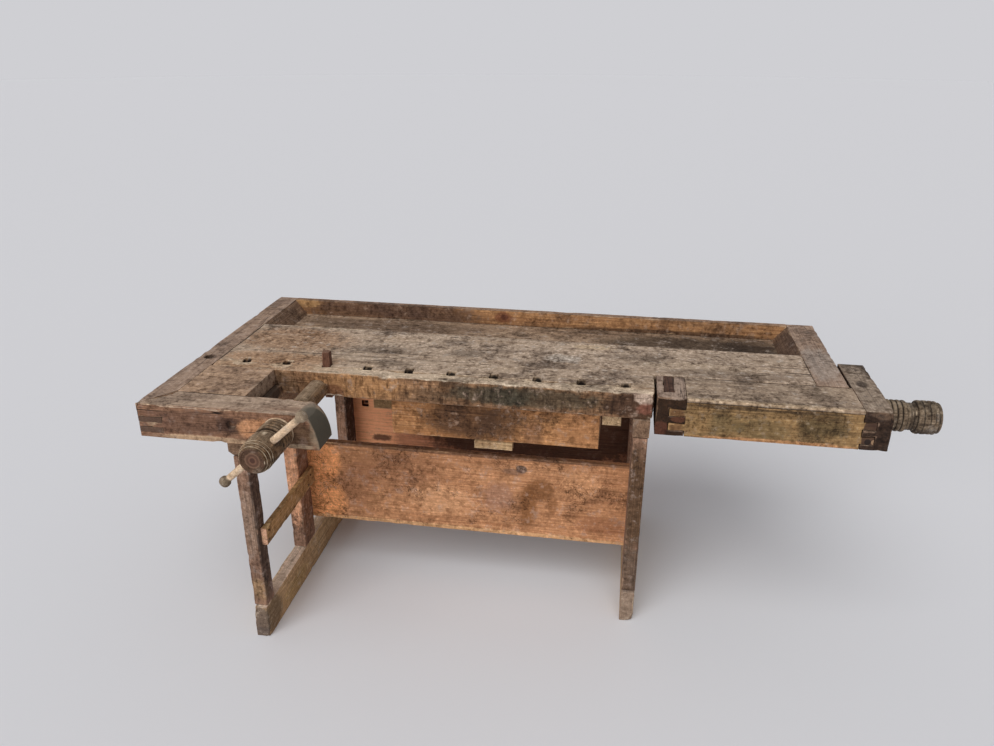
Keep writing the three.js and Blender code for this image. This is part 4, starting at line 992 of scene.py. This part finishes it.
board_finish = old_wood(
    "tail_top_wood", (190, 164, 138), (156, 130, 108), (82, 66, 54), "X", (1760, 60, 700),
    ring=6, streaks=0.55, specks=0.85, flecks_and_glints=0.6, greyed=(178, 156, 134), rubbed=(206, 180, 150), cracks=0.8,
    marks=[
        ((1740, -6, 800), (280, 12, 12), (204, 176, 142), 0.5, 0.8),
        ((1740, -11, 789), (280, 8, 4), (60, 48, 38), 0.7, 0.3),
        ((1765, 148, 800), (260, 6, 8), (56, 44, 37), 0.85, 0.15),
    ],
)
fit_timber(
    "tail_top_board", "tail_top_board_panel", "tail_vise", board_finish, "tail_wood",
    arris=1.6, chips=2.5, sag=0.5, step=13, seed=94,
)
end_finish = old_wood(
    "tail_end_wood", (76, 55, 41), (54, 38, 29), (32, 23, 19), "Y", (2044, 120, 640),
    blotches=0.8, specks=0.85, flecks_and_glints=0.65, greyed=(168, 148, 129), rubbed=(146, 118, 98), cracks=0.9,
    marks=[
        ((2044, 160, 800), (44, 190, 9), (162, 144, 126), 0.6, 0.8),
        ((2040, 180, 800), (20, 30, 12), (66, 54, 46), 0.8, 0.7),
        ((2046, 180, 800), (2.4, 160, 12), (78, 64, 54), 0.4, 0.3),
        ((2060, -11, 790), (40, 12, 14), (116, 92, 74), 0.6, 0.8),
    ],
)
end_dents = [((2083, -11, 800), (30, 26, 22), 7)]
fit_timber(
    "tail_end_block", "tail_end_block_timber", "tail_vise", end_finish, "dark_wood",
    arris=2.2, chips=4, sag=0.9, step=12, dents=end_dents, seed=95,
)
for node, label in (("tail_keeper_batten", "tail_keeper_strip"), ("tail_garter_key", "tail_garter_fork")):
    fit_timber(
        node, label, "tail_vise", inner_finish, "dark_wood",
        arris=0.8, chips=1, sag=0.3, step=16, seed=len(node) + 1,
    )

# Tail screw
# The tail vise's wooden screw, turned like the other, with a longer neck, a shorter and stouter drum,
# and a groove for the garter key. Its head stands out past the end block, dry and grey, dirt in its grooves.
tail_screw_finish = old_wood(
    "tail_screw_wood", (140, 120, 98), (98, 82, 67), (38, 31, 26), "X", (2200, 90, 748),
    ring=7, blotches=0.85, specks=0.9, flecks_and_glints=0.8, greyed=(150, 132, 110), rubbed=(196, 174, 146),
    marks=[
        ((2230, 90, 748), (10, 40, 40), (92, 74, 62), 0.7, 0.4),
        # painted shade on the lower side of the tail screw's head
        ((2190, 60, 712), (60, 50, 22), (46, 37, 31), 0.7, 0.7),
        ((2156, 90, 748), (14, 60, 60), (58, 48, 40), 0.6, 0.5),
        ((2222, 90, 748), (8, 60, 60), (64, 54, 45), 0.5, 0.5),
    ],
)
low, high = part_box("tail_screw")
axis_place = (low + high) / 2
tail_tip = Vector((low.x, axis_place.y, axis_place.z))
outward = (1, 0, 0)
tail_neck = 26
tail_drum = 65
tail_shaft = (high.x - low.x) * 1000 - COLLAR_LENGTH - tail_neck - tail_drum
garter_middle = 351.5
garter_reach = 8.8
garter_radius = 23.0
garter_begin = garter_middle - garter_reach
garter_groove = (garter_begin, garter_middle + garter_reach, garter_radius)
drum_grooves = [(from_face, SOFT_GROOVE) for from_face in (49, 32, 19, 7.5)]
tail_head = turned_head(
    neck=tail_neck, neck_rings=3, drum=tail_drum, girth=49, face=43, taper=20, turnings=drum_grooves
)
work = turned(screw_profile(tail_shaft, tail_head, garter_groove), tail_tip, outward, SCREW_SIDES)
cut_thread(work, tail_tip, outward, begin=10, end=garter_begin - THREAD_PITCH)
hole_from_face = 32
hole_middle = Vector((high.x - hole_from_face / 1000, axis_place.y, axis_place.z))
work = bored(work, hole_middle, Vector((0, 0, 1)))
lathe_worn(work, tail_tip, outward, depth=1.8, seed=7)
set_piece(work, "tail_screw_turned", "tail_screw", tail_screw_finish, "screw_wood", "tail_screw")

# Drawer runners
# Two pale softwood runners screwed up under the slab, rebated so that the drawer's hangers slide on a lip.
# Two countersunk iron screws hold each one.
runner_finish = old_wood(
    "runner_pine", (228, 198, 156), (202, 166, 126), (120, 90, 66), "Y", (600, 240, 600),
    blotches=0.4, ends=0.1, rubbed=(230, 204, 168),
    marks=[((595, 78, 690), (50, 40, 50), (124, 94, 60), 0.85, 0.4)],
)
for side in ("left", "right"):
    fit_timber(
        f"drawer_runner_{side}", f"drawer_runner_{side}_strip", "bench", runner_finish, "pale_wood",
        arris=1, chips=1.5, sag=0.3, step=18, seed=101 + len(side),
    )
screw_cap = [(0, 0), (0, 5.2), (0.7, 5), (1.1, 3.6), (0.5, 1.2), (0.4, 0)]
screw_spots = [(x, y) for x in (585, 1327) for y in (120, 350)]
runner_underside = 653.9
heads = [turned(screw_cap, drawn(x, y, runner_underside), (0, 0, -1), sides=20) for x, y in screw_spots]
set_piece(gathered(heads), "runner_screws", "bench", nail_finish, "iron")

# Drawer
# A shallow softwood drawer hung under the slab: nailed box, thin bottom, a hanger batten on each side.
# A batten under the front serves as the pull. The front is dark and greasy in the middle.
drawer_front_finish = old_wood(
    "drawer_front_pine", (200, 146, 98), (168, 116, 74), (74, 51, 36), "X", (950, -40, 560),
    ring=7, streaks=0.4, specks=0.75, flecks_and_glints=0.5, scuffs=0.6, rubbed=(218, 174, 130),
    marks=[
        ((860, 60, 650), (150, 14, 90), (66, 45, 34), 0.75, 0.8),
        ((980, 60, 640), (90, 14, 70), (70, 49, 37), 0.65, 0.9),
        ((1080, 60, 610), (36, 14, 60), (106, 74, 57), 0.5, 0.8),
        ((1230, 60, 640), (90, 14, 80), (180, 127, 85), 0.6, 0.8),
        ((700, 60, 705), (120, 14, 16), (126, 88, 62), 0.5, 0.7),
    ],
)
fit_timber(
    "drawer_front", "drawer_front_board", "drawer", drawer_front_finish, "drawer_wood",
    arris=1.4, chips=2.5, sag=0.7, step=13, seed=111,
)
side_finish = old_wood(
    "drawer_side_pine", (212, 170, 128), (182, 140, 102), (106, 76, 58), "Y", (640, 240, 560),
    ring=6, rubbed=(214, 180, 140),
)
for node in ("drawer_side_left", "drawer_side_right", "drawer_hanger_left", "drawer_hanger_right"):
    fit_timber(
        node, f"{node}_batten", "drawer", side_finish, "drawer_wood",
        arris=0.9, chips=1, sag=0.2, step=18, seed=120 + len(node),
    )
box_finish = old_wood(
    "drawer_box_pine", (208, 168, 126), (176, 138, 102), (100, 74, 56), "X", (950, 240, 540),
    ring=7, greyed=(176, 146, 116), rubbed=(210, 178, 140),
)
for node in ("drawer_back", "drawer_bottom"):
    fit_timber(
        node, f"{node}_board", "drawer", box_finish, "drawer_wood",
        arris=0.8, chips=1, sag=0.2, step=20, seed=125 + len(node),
    )
pull_finish = old_wood(
    "drawer_pull_pine", (204, 172, 130), (176, 140, 102), (96, 72, 53), "X", (950, 40, 540),
    ring=4, blotches=0.35, rubbed=(234, 206, 168),
)
fit_timber(
    "drawer_pull", "drawer_pull_batten", "drawer", pull_finish, "pale_wood",
    arris=2, chips=2, sag=0.6, step=10, seed=131,
)

# Bench dog
# A square peg of dark hardwood, sawn from one stick, that stands in one dog hole.
# It is a loose fit, and its top is bruised by the mallet.
dog_finish = old_wood(
    "dog_wood", (112, 78, 61), (86, 57, 45), (42, 29, 24), "Z", (415, 50, 700),
    ring=3, ends=0.0, greyed=(128, 98, 80), rubbed=(152, 112, 90), cracks=0.9,
)
dog_dents = [((417, 51, 846), (9, 9, 8), 3), ((441, 75, 846), (9, 10, 8), 3), ((430, 63, 846), (9, 9, 6), 2)]
fit_timber(
    "bench_dog", "bench_dog_peg", "bench_dog", dog_finish, "dark_wood",
    arris=1.2, chips=2, sag=0.4, step=6, dents=dog_dents, seed=141,
)

# Floor, light and camera
# A plain pale floor, a soft sky all round, a broad lamp above and one from the left, like a workshop window,
# and a camera at the photograph's place.
BACKDROP = tone(207, 207, 211)
SKY_LIGHT = (0.36, 0.36, 0.37, 1.0)
floor_work = bmesh.new()
bmesh.ops.create_circle(floor_work, cap_ends=True, segments=96, radius=40)
floor_mesh = bpy.data.meshes.new("pale_floor")
floor_work.to_mesh(floor_mesh)
floor_work.free()
floor_paint, _, floor_shader = new_finish("pale_floor_paint")
floor_shader.inputs["Base Color"].default_value = tone(232, 232, 235)
floor_shader.inputs["Roughness"].default_value = 0.9
floor_mesh.materials.append(floor_paint)
floor = placed("pale_floor", floor_mesh)

world = bpy.data.worlds.new("studio_sky")
world.use_nodes = True
sky = world.node_tree
surround = sky.nodes["Background"]
surround.inputs["Strength"].default_value = 1.0
rays = sky.nodes.new("ShaderNodeLightPath")
seen = rays.outputs["Is Camera Ray"]
for ray in ("Is Glossy Ray", "Is Transmission Ray"):
    seen = join(sky, "Math", seen, rays.outputs[ray], operation="MAXIMUM")
backdrop = lay_over(sky, seen, SKY_LIGHT, BACKDROP)
sky.links.new(backdrop, surround.inputs["Color"])
bpy.context.scene.world = world
for label, strength, way, softness in (
    ("high_lamp", 1.2, (0.10, 0.55, -0.83), 50),
    ("window_lamp", 1.15, (0.44, 0.87, -0.22), 40),
):
    lamp = bpy.data.lights.new(label, "SUN")
    lamp.energy = strength
    lamp.angle = math.radians(softness)
    placed(label, lamp).rotation_euler = Vector(way).to_track_quat("-Z", "Y").to_euler()

lens = bpy.data.cameras.new("photo_view")
lens.sensor_fit = "HORIZONTAL"
lens.sensor_width = 36
lens.lens = 28.57
rightward = Vector((0.98671, 0.16248, 0.00209))
upward = Vector((-0.06564, 0.38681, 0.91981))
gaze = Vector((-0.14865, 0.90773, -0.39234))
stance = Matrix((rightward, upward, -gaze)).transposed().to_4x4()
stance.translation = drawn(1320.2, -2099.7, 1744.1)
camera = placed("photo_view", lens)
camera.matrix_world = stance
bpy.context.scene.camera = camera
bpy.context.scene.view_settings.view_transform = "Standard"
